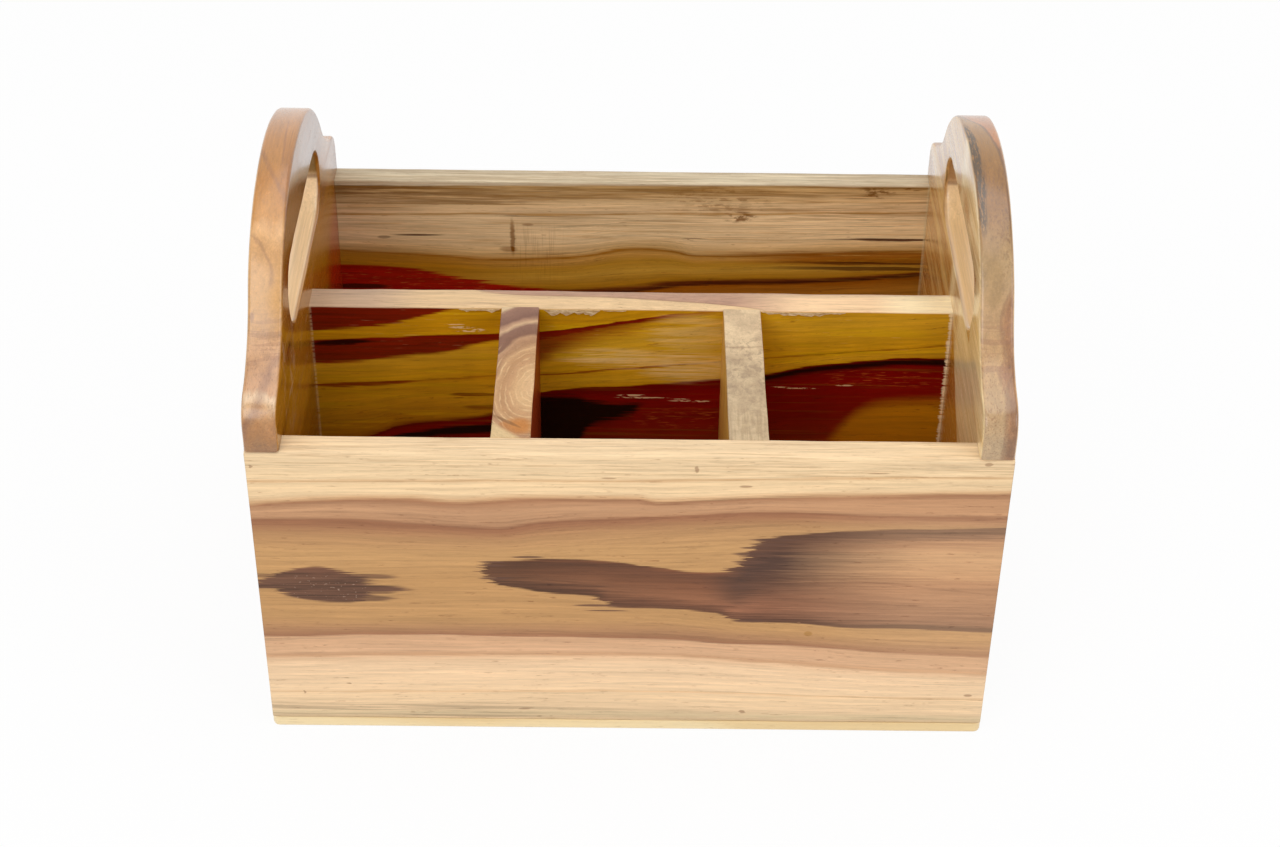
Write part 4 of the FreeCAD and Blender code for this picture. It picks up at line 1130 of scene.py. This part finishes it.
# --- Camera, floor and light --------------------------------------------------------------------
def set_camera():
    """A lens of 2371.9 pixels on a frame 1280 wide, turned by yaw, pitch and roll in radians."""
    position = Vector((-0.34, -852.2, 718.1)) * MM
    yaw, pitch, roll = 0.00571, 0.64094, 0.0139
    forward = Vector((math.sin(yaw) * math.cos(pitch), math.cos(yaw) * math.cos(pitch), -math.sin(pitch)))
    level = Vector((math.cos(yaw), -math.sin(yaw), 0))
    upright = level.cross(forward)
    right = math.cos(roll) * level + math.sin(roll) * upright
    up = -math.sin(roll) * level + math.cos(roll) * upright
    data = bpy.data.cameras.new("studio_camera")
    data.sensor_fit = "HORIZONTAL"
    data.sensor_width = 36.0
    data.lens = 2371.9 / 1280 * data.sensor_width
    data.clip_start, data.clip_end = 0.01, 50.0
    camera = bpy.data.objects.new("studio_camera", data)
    camera.matrix_world = Matrix.Translation(position) @ Matrix((right, up, -forward)).transposed().to_4x4()
    bpy.context.scene.collection.objects.link(camera)
    bpy.context.scene.camera = camera


def white_where_seen(tree, plain, white, share, output):
    """Ends a tree: the plain shader, but for rays that see the background itself white takes this share."""
    path = add_node(tree, "ShaderNodeLightPath").outputs
    seen = path["Is Camera Ray"]
    for ray in ("Is Glossy Ray", "Is Transmission Ray"):
        seen = add_node(tree, "ShaderNodeMath", {0: seen, 1: path[ray]}, operation="MAXIMUM").outputs[0]
    part = add_node(tree, "ShaderNodeMath", {0: seen, 1: share}, operation="MULTIPLY").outputs[0]
    blend = add_node(tree, "ShaderNodeMixShader", {0: part, 1: plain.outputs[0], 2: white.outputs[0]})
    add_node(tree, output, {"Surface": blend.outputs[0]})


def lay_floor():
    floor = new_piece("studio_floor", bpy.ops.mesh.primitive_plane_add, size=8, location=(0, 0, 0))
    material = bpy.data.materials.new("studio_floor_white")
    material.use_nodes = True
    tree = material.node_tree
    tree.nodes.clear()
    paper = add_node(tree, "ShaderNodeBsdfDiffuse", {"Color": (0.86, 0.86, 0.86, 1)})
    glow = add_node(tree, "ShaderNodeEmission", {"Color": (1, 1, 1, 1), "Strength": 1.0})
    white_where_seen(tree, paper, glow, 0.93, "ShaderNodeOutputMaterial")
    floor.data.materials.append(material)


def light_room():
    world = bpy.data.worlds.new("studio_world")
    bpy.context.scene.world = world
    world.use_nodes = True
    tree = world.node_tree
    tree.nodes.clear()
    soft = add_node(tree, "ShaderNodeBackground", {"Color": (1, 1, 1, 1), "Strength": 0.60})
    white = add_node(tree, "ShaderNodeBackground", {"Color": (1, 1, 1, 1), "Strength": 1.0})
    white_where_seen(tree, soft, white, 1.0, "ShaderNodeOutputWorld")
    for name, place, size, power in (
        ("front_softbox", (-0.9, -1.5, 1.5), 1.4, 15.5),
        ("right_softbox", (1.5, -1.0, 1.2), 1.2, 8.0),
        ("top_softbox", (0.1, 0.2, 1.8), 1.4, 9.0),
    ):
        data = bpy.data.lights.new(name, "AREA")
        data.shape = "SQUARE"
        data.size = size
        data.energy = power
        lamp = bpy.data.objects.new(name, data)
        lamp.location = place
        lamp.rotation_euler = (Vector((0, 0, 0.1)) - Vector(place)).to_track_quat("-Z", "Y").to_euler()
        bpy.context.scene.collection.objects.link(lamp)


set_camera()
lay_floor()
light_room()
bpy.context.scene.view_settings.view_transform = "Standard"
